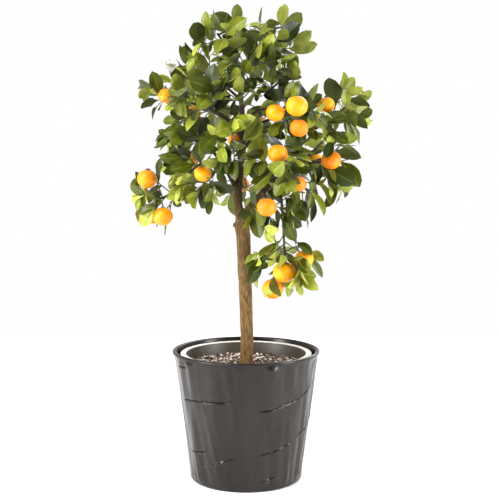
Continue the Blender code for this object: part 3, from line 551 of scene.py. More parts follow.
class Limb:
    """A tapering limb: its points, its radius at each point and its number of sides."""

    def __init__(self, name, points, radii, sides):
        self.name = name
        self.points = points
        self.radii = radii
        self.sides = sides

    def place(self, share):
        """The centre point and the radius at a share of the limb's length."""
        spot = min(share, 1.0) * (len(self.points) - 1)
        index = min(int(spot), len(self.points) - 2)
        part = spot - index
        point = self.points[index].lerp(self.points[index + 1], part)
        return point, self.radii[index] * (1.0 - part) + self.radii[index + 1] * part

    def run(self):
        """The direction at the tip."""
        return (self.points[-1] - self.points[-2]).normalized()

    def span(self):
        """The distance from foot to tip."""
        return (self.points[-1] - self.points[0]).length


def upright_limb(name, lean, radii, count, sides):
    points = smooth_line([Vector((x, 0.0, z)) for z, x in lean], count)
    return Limb(name, points, [between(radii, share) for share in steps(count)], sides)


def arching_limb(name, start, end, rise, radii, count, sides):
    """A limb from start to end whose middle is lifted by rise, thicker at its very foot."""
    middle = start.lerp(end, 0.5) + UP * rise * 2.0
    points = [curve_point(start, middle, end, share) for share in steps(count)]
    foot, tip = radii
    sizes = [foot + (tip - foot) * share ** BOUGH_TAPER for share in steps(count)]
    return Limb(name, points, sizes, sides)


def entry_point(start, centre, across, upright):
    """Where the line from start to a mass's centre comes into that mass."""
    line = start - centre
    share = math.sqrt((line.x ** 2 + line.y ** 2) / across ** 2 + line.z ** 2 / upright ** 2)
    return centre + line * (ENTRY / share)


def plan_limbs():
    """Every limb by name, the trunk first, in the order in which they branch."""
    limbs = {"trunk": upright_limb("trunk", TRUNK_LEAN, TRUNK_RADII, TRUNK_POINTS, TRUNK_SIDES),
             "leader": upright_limb("leader", LEADER_LEAN, LEADER_RADII, LEADER_POINTS,
                                    LEADER_SIDES)}
    for name, parent, share, tip, rise, foot_radius, tip_radius in SCAFFOLD:
        start, _ = limbs[parent].place(share)
        limbs[name] = arching_limb(name, start, Vector(tip), rise, (foot_radius, tip_radius),
                                   SCAFFOLD_POINTS, LEADER_SIDES)
    for name, parent, share, centre, across, upright, rise, _ in MASSES:
        if share == ON_TIP:
            continue
        start, girth = limbs[parent].place(share)
        end = entry_point(start, Vector(centre), across, upright)
        foot_radius = min(BOUGH_FOOT_RADIUS, girth * FOOT_SHARE_OF_PARENT)
        bough = name + "_bough"
        limbs[bough] = arching_limb(bough, start, end, rise * (end - start).length,
                                    (foot_radius, BOUGH_TIP_RADIUS), BOUGH_POINTS, BOUGH_SIDES)
    return limbs


def ring_faces(rows, columns, closed=True):
    """Quads between rows of corners, closed round each row where asked."""
    faces = []
    for row in range(rows - 1):
        for column in range(columns if closed else columns - 1):
            low = row * columns + column
            beside = row * columns + (column + 1) % columns
            faces.append((low, beside, beside + columns, low + columns))
    return faces


def tube_rings(points, radii, sides, grow=0.0):
    """Rings of points round a line, made thicker all round by grow."""
    rings = []
    for index, point in enumerate(points):
        before = points[max(index - 1, 0)]
        after = points[min(index + 1, len(points) - 1)]
        axes = square_to((after - before).normalized())
        rings.append([point + swing(axes, FULL_TURN * side / sides) * (radii[index] + grow)
                      for side in range(sides)])
    return rings


class Taken:
    """The room that limbs, twigs, fruit and leaves have taken, and whose each piece is."""

    def __init__(self):
        self.pieces = []

    @staticmethod
    def tree(rings):
        """The closed surface through these rings, as a search tree with its box."""
        count = len(rings[0])
        corners = [corner for ring in rings for corner in ring]
        faces = [tuple(range(count)), tuple(range(len(corners) - count, len(corners)))]
        box = [(min(c[axis] for c in corners), max(c[axis] for c in corners))
               for axis in range(3)]
        return box, BVHTree.FromPolygons(corners, faces + ring_faces(len(rings), count))

    def add(self, owner, rings):
        self.pieces.append((owner, *self.tree(rings)))

    def is_free(self, owner, own_rings, rings):
        """Whether rings touch nothing of others, and own_rings nothing of their owner."""
        own = self.tree(own_rings)
        whole = self.tree(rings)
        for whose, box, tree in self.pieces:
            near, shape = own if whose == owner else whole
            apart = any(near[axis][0] > box[axis][1] or near[axis][1] < box[axis][0]
                        for axis in range(3))
            if not apart and shape.overlap(tree):
                return False
        return True


class Mass:
    """One mass of foliage: its ellipsoid, and the twigs, leaves and fruit that grow in it."""

    def __init__(self, name, centre, across, upright, limb, seed):
        self.name = name
        self.centre = Vector(centre)
        self.across = across
        self.upright = upright
        self.limb = limb
        self.rng = random.Random("%s %d" % (name, seed))
        self.stem = None
        self.twigs = []
        self.leaves = []
        self.fruit = []

    def holds(self, point):
        """Whether a point lies in the mass's own space."""
        off = point - self.centre
        flat = (off.x ** 2 + off.y ** 2) / self.across ** 2
        return flat + (off.z / self.upright) ** 2 <= SPACE ** 2

    def rim_point(self, direction, share):
        """The point at a share of the ellipsoid's radius in a direction."""
        return self.centre + Vector((direction.x * self.across, direction.y * self.across,
                                     direction.z * self.upright)) * share


def grow_stem(mass, taken):
    """The stem runs on from the tip of the bough, clear of it, past the middle of the mass."""
    run, radius = mass.limb.run(), mass.limb.radii[-1]
    start = mass.limb.points[-1] + run * GAP
    straight = start + run * STEM_STRAIGHT
    end = mass.centre + (mass.centre - start) * STEM_PAST_CENTRE
    bend = straight + run * (end - straight).length * STEM_BEND
    points = [start] + [curve_point(straight, bend, end, share) for share in steps(STEM_POINTS - 1)]
    radii = [radius + (STEM_TIP_RADIUS - radius) * index / (STEM_POINTS - 1)
             for index in range(STEM_POINTS)]
    mass.stem = Limb(mass.name + "_stem", points, radii, STEM_SIDES)
    taken.add(mass.name, tube_rings(points, radii, STEM_SIDES))


def fruit_rings(centre, radius):
    """A coarse ball round a fruit, for telling what it touches."""
    rings = []
    for row in BALL_ROWS:
        flat = math.sqrt(1.0 - row ** 2) * radius * BALL_GROWN
        high = row * radius * FRUIT_FLATTENED * BALL_GROWN
        rings.append([centre + Vector((math.cos(turn) * flat, math.sin(turn) * flat, high))
                      for turn in (side * FULL_TURN / BALL_SIDES for side in range(BALL_SIDES))])
    return rings


def grow_fruit(mass, taken, centre, diameter):
    """A fruit at its place, on a stalk that arches over from the stem."""
    radius = diameter / 2.0
    top = centre + UP * radius * FRUIT_FLATTENED
    taken.add(mass.name, fruit_rings(centre, radius))
    start = min((mass.stem.place(share)[0] for share in STALK_FEET),
                key=lambda point: (point - top).length)
    bend = start.lerp(top, STALK_BEND) + UP * (top - start).length * STALK_ARCH
    points = [curve_point(start, bend, top, share) for share in (0.0, 0.5)]
    points += [top + UP * STALK_RISE, centre + UP * radius * STALK_SUNK]
    radii = [STALK_RADIUS] * len(points)
    mass.fruit.append((centre, radius))
    mass.twigs.append((points, radii))
    taken.add(mass.name, tube_rings(points[:-1], radii[:-1], TWIG_SIDES, TOUCH_GAP))


def sphere_direction(index, count, turn):
    """Directions spread evenly over a ball, one for each index."""
    height = 1.0 - 2.0 * (index + 0.5) / count
    flat = math.sqrt(1.0 - height ** 2)
    angle = index * GOLDEN_ANGLE + turn
    return Vector((flat * math.cos(angle), flat * math.sin(angle), height))


def add_twig(mass, taken, points, radii, near, grow=0.0):
    """Add a twig if it touches nothing, or up to the point near only what it grows from."""
    own = tube_rings([near] + points[1:], radii, TWIG_SIDES, grow)
    whole = tube_rings(points, radii, TWIG_SIDES, grow)
    if not taken.is_free(mass.name, own, whole):
        return None
    taken.add(mass.name, whole)
    mass.twigs.append((points, radii))
    return Limb("twig", points, radii, TWIG_SIDES)


def grow_shoot(mass, taken, direction):
    """A twig from the stem towards the rim of the mass, or None where it would touch."""
    end = mass.rim_point(direction, SHOOT_REACH)
    first, more = SHOOT_FEET
    start, _ = mass.stem.place(first + more * (0.5 + 0.5 * direction.dot(mass.stem.run())))
    near = start.lerp(end, min(SHOOT_SKIN_MOST, SHOOT_SKIN / (end - start).length))
    return add_twig(mass, taken, [start, end], [TWIG_FOOT_RADIUS, TWIG_TIP_RADIUS], near, TOUCH_GAP)


def leaf_corners(leaf, start=0.0):
    """The outline of a leaf: its root, one edge, its tip and the other edge."""
    root, along, face, length = leaf
    side = face.cross(along) * length * LEAF_WIDTH_SHARE / 2.0
    edge = [(place, -wide) for place, wide in LEAF_EDGE] + [(1.0, 0.0)]
    edge += [(place, wide) for place, wide in reversed(LEAF_EDGE)]
    return [root + along * length * start] + [root + along * length * place + side * wide
                                              for place, wide in edge]


def leaf_room(leaf, start):
    """The thin slab that a leaf needs, from a share of its length on."""
    corners = leaf_corners(leaf, start)
    face = leaf[2]
    return [[corner + face * TOUCH_GAP for corner in corners],
            [corner - face * (TOUCH_GAP + LEAF_KEEL_DEPTH) for corner in corners]]


def grow_leaf(mass, taken, node, run, angle, spread, length):
    """A leaf at a node of a twig, where there is room for it."""
    aside = swing(square_to(run), angle)
    outward = (node - CROWN_MIDDLE) * CROWN_OUTWARD
    outward.normalize()
    along = (run * math.cos(spread) + aside * math.sin(spread) + outward * LEAF_OUTWARD
             - UP * LEAF_DROOP).normalized()
    stray = Vector([mass.rng.gauss(0.0, LEAF_STRAY) for _ in range(3)])
    by_run, by_outward, by_up = LEAF_FACING
    face = run * by_run + outward * by_outward + UP * by_up + stray
    face = (face - along * face.dot(along)).normalized()
    leaf = (node, along, face, length)
    if not all(mass.holds(corner) for corner in leaf_corners(leaf)):
        return False
    if not taken.is_free(mass.name, leaf_room(leaf, LEAF_SKIN), leaf_room(leaf, 0.0)):
        return False
    taken.add(mass.name, leaf_room(leaf, 0.0))
    mass.leaves.append(leaf)
    return True


def leaf_the_node(mass, taken, twig, number, share, lengths, size=1.0, angle=0.0):
    """The leaf at a node, counted from the tip, at a share of its twig, where one finds room."""
    node, _ = twig.place(share)
    spread = math.radians(mass.rng.uniform(*(LEAF_SPREAD if number else TIP_SPREAD)))
    length = mass.rng.uniform(*lengths) * size
    for attempt in range(LEAF_TRIES):
        turn = angle + number * GOLDEN_ANGLE + attempt * TRY_TURN
        if grow_leaf(mass, taken, node, twig.run(), turn, spread, length * TRY_SHRINK ** attempt):
            return


def grow_crown(limbs, taken):
    """Grow every mass: stems first, then fruit, shoots and leaves. Gives masses and shoots."""
    masses = {}
    for name, parent, share, centre, across, upright, _, seed in MASSES:
        limb = limbs[parent] if share == ON_TIP else limbs[name + "_bough"]
        masses[name] = Mass(name, centre, across, upright, limb, seed)
        grow_stem(masses[name], taken)
    for name, centre, diameter in FRUIT:
        grow_fruit(masses[name], taken, Vector(centre), diameter)
    shoots = []
    for mass in masses.values():
        turn = mass.rng.uniform(0.0, FULL_TURN)
        outward = mass.centre - CROWN_MIDDLE
        for index in range(SHOOTS):
            direction = sphere_direction(index, SHOOTS, turn)
            inward = direction.dot(outward) < INWARD_LIMIT * outward.length
            if inward and outward.length < CROWN_DEPTH:
                continue
            shoot = grow_shoot(mass, taken, direction)
            if shoot:
                shoots.append((mass, shoot))
    turns = [mass.rng.uniform(0.0, FULL_TURN) for mass, _ in shoots]
    for number in range(LEAVES_PER_SHOOT):
        for (mass, shoot), turn in zip(shoots, turns):
            share = 1.0 - (number * LEAF_SPACING + TIP_CLEAR) / shoot.span()
            if share >= BARE_SHARE and len(mass.leaves) < MOST_LEAVES:
                leaf_the_node(mass, taken, shoot, number, share, LEAF_LENGTHS,
                              1.0 if number else TIP_LEAF_SHARE, turn)
    return masses, shoots


def grow_fine(shoots, taken):
    """Side shoots on the shoots of the rule, and smaller leaves on them, in the same room."""
    fine = []
    for mass, shoot in shoots:
        for _ in range(SIDE_SHOOTS):
            start, _ = shoot.place(mass.rng.uniform(*SIDE_FEET))
            run = shoot.run()
            aside = swing(square_to(run), mass.rng.uniform(0.0, FULL_TURN))
            lean = math.radians(mass.rng.uniform(*SIDE_LEAN))
            along = (run * math.cos(lean) + aside * math.sin(lean)).normalized()
            end = start + along * mass.rng.uniform(*SIDE_LENGTHS) + UP * SIDE_RISE
            points = [start, start.lerp(end, 0.5) + UP * SIDE_RISE / 2.0, end]
            radii = [TWIG_TIP_RADIUS * share for share in SIDE_TAPER]
            near = start.lerp(points[1], SIDE_SKIN)
            twig = add_twig(mass, taken, points, radii, near) if mass.holds(end) else None
            if twig:
                fine.append((mass, twig))
    for number in range(SIDE_LEAVES):
        for mass, twig in fine:
            share = 1.0 - number * SIDE_SPACING / twig.span()
            if share >= SIDE_BARE:
                leaf_the_node(mass, taken, twig, number, share, SIDE_LEAF_LENGTHS)


# Meshes

def slab_faces(top, edge, count):
    """Faces of a slab: its upper side, the same below, and a rim along the corners of its edge."""
    under = [tuple(index + count for index in reversed(face)) for face in top]
    rim = [(a, b, b + count, a + count) for a, b in zip(edge, edge[1:] + edge[:1])]
    return top + under + rim


def sheet_faces(rows, columns):
    """Faces of a thin sheet with rows and columns of corners."""
    last = (rows - 1) * columns
    edge = [row * columns for row in range(rows)] + list(range(last + 1, last + columns))
    edge += [row * columns - 1 for row in range(rows - 1, 0, -1)]
    edge += list(range(columns - 2, 0, -1))
    return slab_faces(ring_faces(rows, columns, closed=False), edge, rows * columns)


def put(name, data):
    """A new object in the scene."""
    made = bpy.data.objects.new(name, data)
    bpy.context.scene.collection.objects.link(made)
    return made


class Batch:
    """Corners, faces and material slots of shapes that are joined into one piece."""

    def __init__(self):
        self.corners = []
        self.faces = []
        self.slots = []
        self.count = 0

    def add(self, corners, faces, slots=0):
        """Add corners, faces that count from 0, and a slot for all or for each of the faces."""
        self.corners.append(np.asarray(corners, float))
        self.faces += [tuple(index + self.count for index in face) for face in faces]
        self.slots += [slots] * len(faces) if isinstance(slots, int) else slots
        self.count += len(corners)

    def add_tube(self, points, radii, sides, count, slot=0):
        """Add a smooth tube through these points, with a cap at each end."""
        line = [points[0].lerp(points[-1], share) for share in steps(count)]
        if len(points) > 2:
            line = smooth_line(points, count)
        table = list(zip(steps(len(radii)), radii))
        sizes = [between(table, share) for share in steps(count)]
        corners = [tuple(corner) for ring in tube_rings(line, sizes, sides) for corner in ring]
        faces = ring_faces(count, sides) + [tuple(reversed(range(sides)))]
        faces.append(tuple(range(len(corners) - sides, len(corners))))
        self.add(corners, faces, slot)

    def mesh(self, name):
        made = bpy.data.meshes.new(name)
        made.from_pydata(np.concatenate(self.corners).tolist(), [], self.faces)
        made.polygons.foreach_set("material_index", self.slots)
        made.update()
        return made

    def piece(self, name, finishes, slot, nodes, sharp):
        new_piece(name, self.mesh(name), finishes, nodes, sharp)


def new_piece(name, mesh, finishes, nodes, sharp):
    """A piece of the scene: its mesh, its materials and the nodes that it stands for."""
    piece = put(name, mesh)
    for made in finishes:
        mesh.materials.append(made)
    mesh.shade_smooth()
    mesh.set_sharp_from_angle(angle=math.radians(sharp))
    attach(piece, "root")
    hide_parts(*nodes)


# Materials

def set_input(node, name, value):
    """Give an input of a node a plain value, or link it to an output."""
    if isinstance(value, bpy.types.NodeSocket):
        node.id_data.links.new(value, node.inputs[name])
    else:
        node.inputs[name].default_value = value


def add_node(tree, kind, settings=(), **inputs):
    """A shader node of this kind with pairs of settings, and its inputs by name."""
    node = tree.nodes.new("ShaderNode" + kind)
    for name, value in settings:
        setattr(node, name, value)
    for name, value in inputs.items():
        set_input(node, name.replace("_", " "), value)
    return node


def noise_pattern(tree, sizes, factor=1.0):
    """A noise over object coordinates, from its sizes and a factor on its scale."""
    scale, detail, rough, stretch = (*sizes, *NOISE_DEFAULTS[len(sizes):])
    place = add_node(tree, "TexCoord").outputs["Object"]
    spot = add_node(tree, "Mapping", Vector=place, Scale=stretch).outputs["Vector"]
    return add_node(tree, "TexNoise", Vector=spot, Scale=scale * factor, Detail=detail,
                    Roughness=rough).outputs["Fac"]


def ramp(tree, value, places, colours):
    """A colour ramp over a pattern, with colours at these places."""
    node = add_node(tree, "ValToRGB", Fac=value)
    rows = node.color_ramp.elements
    while len(rows) < len(colours):
        rows.new(0.5)
    for row, place, colour in zip(rows, places, colours):
        row.position = place
        row.color = (*colour, 1.0)
    return node.outputs["Color"]


def add_bump(shader, value, strength, height):
    """Bump from a pattern, on top of the bump that the material already has."""
    node = add_node(shader.id_data, "Bump", Strength=strength, Distance=height, Height=value)
    if shader.inputs["Normal"].is_linked:
        set_input(node, "Normal", shader.inputs["Normal"].links[0].from_socket)
    set_input(shader, "Normal", node.outputs["Normal"])


def plain_finish(name, colour, roughness, specular):
    """A material with these plain values, and its shader node."""
    made = bpy.data.materials.new(name)
    made.use_nodes = True
    made.diffuse_color = (*colour, 1.0)
    shader = made.node_tree.nodes["Principled BSDF"]
    set_input(shader, "Base Color", (*colour, 1.0))
    set_input(shader, "Roughness", roughness)
    set_input(shader, "Specular IOR Level", specular)
    return made, shader


def finish(name, kind, colour, colours=None, factor=1.0, roughness=None):
    """A material of one of the kinds, mottled in shades of a colour or in colours of its own."""
    usual, specular, shades, places, mottle, *bumps = KINDS[kind]
    made, shader = plain_finish(name, colour, roughness or usual, specular)
    tree = made.node_tree
    colours = colours or [[min(value * shade, 1.0) for value in colour] for shade in shades]
    set_input(shader, "Base Color", ramp(tree, noise_pattern(tree, mottle, factor), places, colours))
    for sizes, strength, height in bumps:
        add_bump(shader, noise_pattern(tree, sizes, factor), strength, height)
    return made


def rind_finish(name, deeper, colour):
    """Orange rind: satin, with pores and a slight mottle."""
    made = finish(name, "rind", colour, (deeper, colour))
    tree = made.node_tree
    scale, strength, height = RIND_PORES
    place = add_node(tree, "TexCoord").outputs["Object"]
    pores = add_node(tree, "TexVoronoi", Scale=scale, Vector=place).outputs["Distance"]
    add_bump(tree.nodes["Principled BSDF"], pores, strength, height)
    return made


def bark_finish():
    """Young bark: brown with long fissures and pale specks, and painted shade of the crown from the
    fork up.
    """
    made = finish("bark", "bark", BARK_PLAIN, BARK_COLOURS)
    tree = made.node_tree
    base = tree.nodes["Principled BSDF"].inputs["Base Color"]
    place = add_node(tree, "TexCoord").outputs["Object"]
    height = add_node(tree, "SeparateXYZ", Vector=place).outputs["Z"]
    # painted shade where the limbs run up into the crown
    higher = add_node(tree, "MapRange", From_Min=BARK_DARKENS_FROM, From_Max=BARK_DARKENS_TO,
                      Value=height).outputs["Result"]
    mix = add_node(tree, "Mix", (("data_type", "RGBA"), ("blend_type", "MULTIPLY")),
                   Factor=higher, A=base.links[0].from_socket, B=BARK_CROWN_SHADE)
    tree.links.new(mix.outputs["Result"], base)
    return made


def glaze_finish():
    """Dark glazed ware, satin, with a mottled grey-brown glaze."""
    made = finish("slate_glaze", "glaze", GLAZE_PLAIN, GLAZE_COLOURS)
    tree = made.node_tree
    low, high = GLAZE_GLOSS
    gloss = add_node(tree, "MapRange", To_Min=low, To_Max=high,
                     Value=noise_pattern(tree, GLOSS_NOISE))
    set_input(tree.nodes["Principled BSDF"], "Roughness", gloss.outputs["Result"])
    return made


# Pot

def crack_height(crack, degrees):
    """Height of a crack at an angle round the pot, and how open it is there."""
    first, last = crack[0][0], crack[-1][0]
    if not first < degrees < last:
        return None, 0.0
    fade = min(degrees - first, last - degrees) / CRACK_FADE
    jag = noise.noise(Vector((degrees * JAGS_PER_DEGREE, first, 0.0))) * CRACK_JAG
    return between(crack, degrees) + jag, min(fade, 1.0)


def slate_relief(degrees, height):
    """How far the split-slate side stands out of the plain cone, and whether painted crack shade
    goes there.
    """
    turn = math.radians(degrees)
    x, y = math.sin(turn), math.cos(turn)
    slant = height * SLANT_UP - turn * SLANT_ROUND
    rise = slate_wave(math.radians(degrees - 90.0), height)
    rise += sum(size * noise.noise(Vector((x * across + slant * share, y * across + slant * share,
                                           height * along)))
                for size, across, along, share in RELIEF_NOISES)
    in_crack_shade = False
    for crack in CRACKS:
        line, opened = crack_height(crack, degrees)
        if opened > 0.0:
            above = height - line
            in_crack_shade = in_crack_shade or abs(above) < CRACK_SHADE_WIDTH * opened
            rise -= CRACK_DEPTH * opened * math.exp(-(above / CRACK_WIDTH) ** 2)
            if above > 0.0:
                rise += LEDGE_RISE * opened * math.exp(-above / LEDGE_REACH)
    for ridge in RIDGES:
        line, opened = crack_height(ridge, degrees)
        if opened > 0.0:
            rise += RIDGE_RISE * opened * math.exp(-((height - line) / RIDGE_WIDTH) ** 2)
    return rise, in_crack_shade


def build_pot():
    """The outer pot, with its relief in the mesh. Rows of its profile end with: in relief or not."""
    wall_top = POT_HEIGHT - LIP_HEIGHT
    mouth = RIM_RADIUS - LIP_WIDTH
    half = LIP_WIDTH / 2.0
    profile = [(AXIS_RADIUS, 0.0, False), (FOOT_RADIUS - FOOT_CHAMFER, 0.0, False),
               (FOOT_RADIUS - FOOT_CHAMFER * ROUNDED, FOOT_CHAMFER * ROUNDED, False)]
    for row in range(POT_ROWS + 1):
        height = FOOT_CHAMFER + (wall_top - FOOT_CHAMFER) * row / POT_ROWS
        profile.append((pot_outer_radius(height), height, True))
    profile.append((RIM_RADIUS - UNDER_LIP[0], wall_top + UNDER_LIP[1], False))
    for row in range(LIP_ROWS + 1):
        turn = math.pi * row / LIP_ROWS
        profile.append((mouth + half + half * math.cos(turn),
                        POT_HEIGHT - half * LIP_SQUASH * (1.0 - math.sin(turn)), False))
    profile += [(mouth - INSIDE_LIP[0], wall_top - INSIDE_LIP[1], False),
                (FOOT_RADIUS - POT_WALL, POT_FLOOR, False), (AXIS_RADIUS, POT_FLOOR, False)]
    corners = []
    dark = []
    for radius, height, relief in profile:
        edge = min((height - FOOT_CHAMFER) / RELIEF_FADE[0], (wall_top - height) / RELIEF_FADE[1],
                   1.0)
        for column in range(POT_COLUMNS):
            degrees = 360.0 * column / POT_COLUMNS - 180.0
            out = radius
            in_crack_shade = False
            if relief and edge > 0.0:
                rise, in_crack_shade = slate_relief(degrees, height)
                out += rise * edge
            dark.append(int(in_crack_shade))
            turn = math.radians(degrees)
            corners.append((math.sin(turn) * out, -math.cos(turn) * out, height))
    batch = Batch()
    faces = ring_faces(len(profile), POT_COLUMNS)
    # Faces along a crack take the near-black second finish: painted shade in the grooves
    batch.add(corners, faces, [int(sum(dark[corner] for corner in face) > 1) for face in faces])
    floor = finish("crack_floor", "grit", CRACK_SHADE_COLOURS[0], CRACK_SHADE_COLOURS, CRACK_SCALE)
    batch.piece("slate_relief_pot", [glaze_finish(), floor], "pot_glaze", ["slate_pot"],
                ROUND_EDGES)


def build_liner():
    """The grow pot: its flat flange pale as painted reflection, slot 0, and its darker brown inside,
    slot 1.
    """
    foot = POT_FLOOR + GAP
    under = FLANGE_TOP - FLANGE_THICKNESS
    bevel = FLANGE_BEVEL
    profile = [(AXIS_RADIUS, foot, 1), (LINER_FOOT_RADIUS, foot, 1),
               (FLANGE_INNER + LINER_WALL, under, 1), (FLANGE_OUTER - bevel, under, 0),
               (FLANGE_OUTER, under + bevel, 0), (FLANGE_OUTER, FLANGE_TOP - bevel, 0),
               (FLANGE_OUTER - bevel, FLANGE_TOP, 0), (FLANGE_INNER + bevel, FLANGE_TOP, 0),
               (FLANGE_INNER + bevel * ROUNDED, FLANGE_TOP - bevel * ROUNDED, 0),
               (FLANGE_INNER, FLANGE_TOP - bevel, 1),
               (liner_inner_radius(WALL_FOOT), WALL_FOOT, 1),
               (LINER_FOOT_RADIUS - LINER_WALL, foot + LINER_WALL, 1),
               (AXIS_RADIUS, foot + LINER_WALL, 1)]
    corners = []
    for radius, height, _ in profile:
        for column in range(LINER_COLUMNS):
            turn = FULL_TURN * column / LINER_COLUMNS
            corners.append((math.sin(turn) * radius, -math.cos(turn) * radius, height))
    faces = ring_faces(len(profile), LINER_COLUMNS)
    batch = Batch()
    batch.add(corners, faces, [profile[index // LINER_COLUMNS][2] for index in range(len(faces))])
    finishes = [finish("pale_plastic", "plastic", FLANGE_REFLECTION_COLOUR, roughness=PALE_GLOSS),
                finish("brown_plastic", "plastic", BROWN_PLASTIC)]
    batch.piece("grow_pot_shell", finishes, "grow_pot_plastic", ["grow_pot"], TURNED_EDGES)


def build_gravel():
    """Pumice granules of many sizes, heaped unevenly over a bed of dark fines."""
    rng = random.Random("granules")
    ball = bmesh.new()
    bmesh.ops.create_icosphere(ball, subdivisions=2, radius=1.0)
    base = np.array([tuple(vert.co) for vert in ball.verts])
    faces = [tuple(vert.index for vert in face.verts) for face in ball.faces]
    ball.free()
    edge = liner_inner_radius(GRAVEL_TOP) - GRAVEL_EDGE
    batch = Batch()
    for _ in range(GRANULES):
        reach = edge * math.sqrt(rng.random())
        turn = rng.uniform(0.0, FULL_TURN)
        size = rng.uniform(*GRANULE_RADII)
        if reach < TRUNK_HOLE + size * GRANULE_CLEAR:
            continue
        x, y = math.cos(turn) * reach, math.sin(turn) * reach
        heap = noise.noise(Vector((x * HEAPS, y * HEAPS, 0.0))) * GRAVEL_HEAP
        z = GRAVEL_TOP - GRANULE_SUNK + heap + rng.uniform(0.0, GRANULE_LIFT)
        shift = Vector([rng.uniform(0.0, SHIFTS) for _ in range(3)])
        rough = [1.0 + GRANULE_ROUGH * noise.noise(Vector(point) * GRANULE_LUMPS + shift)
                 for point in base]
        flat = np.array([1.0, rng.uniform(*GRANULE_WIDTHS), rng.uniform(*GRANULE_HEIGHTS)])
        spin = np.array(Matrix.Rotation(rng.uniform(0.0, math.pi), 3, "Z")
                        @ Matrix.Rotation(rng.uniform(-GRANULE_TILT, GRANULE_TILT), 3, "X"))
        tone = rng.choices(range(len(PUMICE)), [row[1] for row in PUMICE])[0]
        shape = base * np.array(rough)[:, None] * flat
        batch.add(shape @ spin.T * size + np.array([x, y, z]), faces, tone)
    tones = [finish(name, "grit", darker, (darker, lighter), PUMICE_SCALE)
             for name, _, darker, lighter in PUMICE]
    batch.piece("pumice_granules", tones, "pumice_gravel", ["gravel_layer"],
                GRAIN_EDGES)


def build_fines():
    """The dark bed of fines under and between the granules."""
    edge = liner_inner_radius(SOIL_TOP) - GAP * 2
    corners = []
    for row in range(FINES_ROWS + 1):
        reach = FINES_FROM + (edge - FINES_FROM) * row / FINES_ROWS
        for column in range(FINES_COLUMNS):
            turn = FULL_TURN * column / FINES_COLUMNS
            x, y = math.cos(turn) * reach, math.sin(turn) * reach
            bump = noise.noise(Vector((x * FINES_LUMPS, y * FINES_LUMPS, FINES_LAYER))) * FINES_BUMP
            corners.append((x, y, GRAVEL_TOP - FINES_SUNK + bump))
    batch = Batch()
    batch.add(corners, ring_faces(FINES_ROWS + 1, FINES_COLUMNS))
    batch.piece("dark_fines", [finish("fines", "grit", EARTH[0], EARTH, FINES_SCALE)],
                "potting_soil", ["gravel_layer"], ROUND_EDGES)


# Trunk and boughs

def build_bark(limbs):
    """Trunk and boughs as one skin that runs smoothly through the forks, with bark relief."""
    batch = Batch()
    many, few = BARK_SIDES
    for limb in limbs.values():
        batch.add_tube(limb.points, limb.radii, many if limb.name in ("trunk", "leader") else few,
                       len(limb.points) * ROWS_PER_POINT)
    trunk = limbs["trunk"]
    foot, top = trunk.points[0].z, trunk.points[-1].z
    start, _ = trunk.place((KNOT_HEIGHT - foot) / (top - foot))
    stub = KNOT_DIRECTION.normalized() * KNOT_REACH
    batch.add_tube([start, start + stub * KNOT_WAIST, start + stub],
                   [KNOT_RADIUS * share for share in KNOT_TAPER], few, KNOT_ROWS)
    rough = put("bark_core", batch.mesh("bark_core"))
    remesh = rough.modifiers.new("skin", "REMESH")
    remesh.mode = "VOXEL"
    remesh.voxel_size = BARK_VOXEL
    soft = rough.modifiers.new("soften", "SMOOTH")
    soft.iterations, soft.factor = BARK_SMOOTHING
    graph = bpy.context.evaluated_depsgraph_get()
    mesh = bpy.data.meshes.new_from_object(rough.evaluated_get(graph))
    bpy.data.objects.remove(rough)
    places = np.array([tuple(vert.co) for vert in mesh.vertices])
    normals = np.array([tuple(vert.normal) for vert in mesh.vertices])
    rises = []
    for x, y, z in places:
        girth = 1.0 if z < BARK_DARKENS_FROM else BARK_THIN
        rises.append(sum(rise * noise.noise(Vector((x * across, y * across, z * along + shift)))
                         for rise, across, along, shift in BARK_RELIEF) * girth)
    mesh.vertices.foreach_set("co", (places + normals * np.array(rises)[:, None]).ravel())
    mesh.materials.clear()
    new_piece("bark", mesh, [bark_finish()], list(limbs), NO_EDGES)


# Twigs, leaves, fruit and blossom

def leaf_template():
    """Rows and widths of a leaf blade, its faces and their slots: upper side, under side, rib."""
    rows = np.linspace(0.0, 1.0, LEAF_ROWS)
    blade = np.clip((rows - PETIOLE_SHARE) / (1.0 - PETIOLE_SHARE), 0.0, 1.0)
    width = np.maximum(np.sin(np.pi * blade ** BLADE_SHIFT) ** BLADE_BLUNT, PETIOLE_WIDTH)
    width[-1] = BLADE_TIP_WIDTH
    faces = sheet_faces(LEAF_ROWS, len(LEAF_COLUMNS))
    across = len(LEAF_COLUMNS) - 1
    upper = [2 if index % across == across // 2 else 0 for index in range((LEAF_ROWS - 1) * across)]
    return rows, width, faces, upper + [1] * (len(faces) - len(upper))


def leaf_shape(leaf, rng, rows, width):
    """The corners of one curved leaf, upper side first."""
    root, along, face, length = leaf
    side = np.array(face.cross(along))
    ahead, out = np.array(along), np.array(face)
    half = length * LEAF_WIDTH_SHARE / 2.0 * rng.uniform(*LEAF_WIDTHS)
    curl = rng.uniform(*LEAF_CURLS)
    fold = rng.uniform(*LEAF_FOLDS)
    wave = rng.uniform(*LEAF_WAVES)
    phase = rng.uniform(0.0, FULL_TURN)
    u, v = np.meshgrid(rows, LEAF_COLUMNS, indexing="ij")
    wide = width[:, None] * np.abs(v)
    lift = (length * (LEAF_ARCH * curl * np.sin(np.pi * u) - curl * u ** 2) + half * fold * wide
            + length * wave * np.sin(WAVES_PER_LEAF * u + phase) * wide * v)
    place = (np.array(root) + ahead * (length * u)[..., None]
             + side * (half * width[:, None] * v)[..., None] + out * lift[..., None])
    sheet = place.reshape(-1, 3)
    return np.concatenate([sheet + out * LEAF_HALF_THICKNESS, sheet - out * LEAF_HALF_THICKNESS])


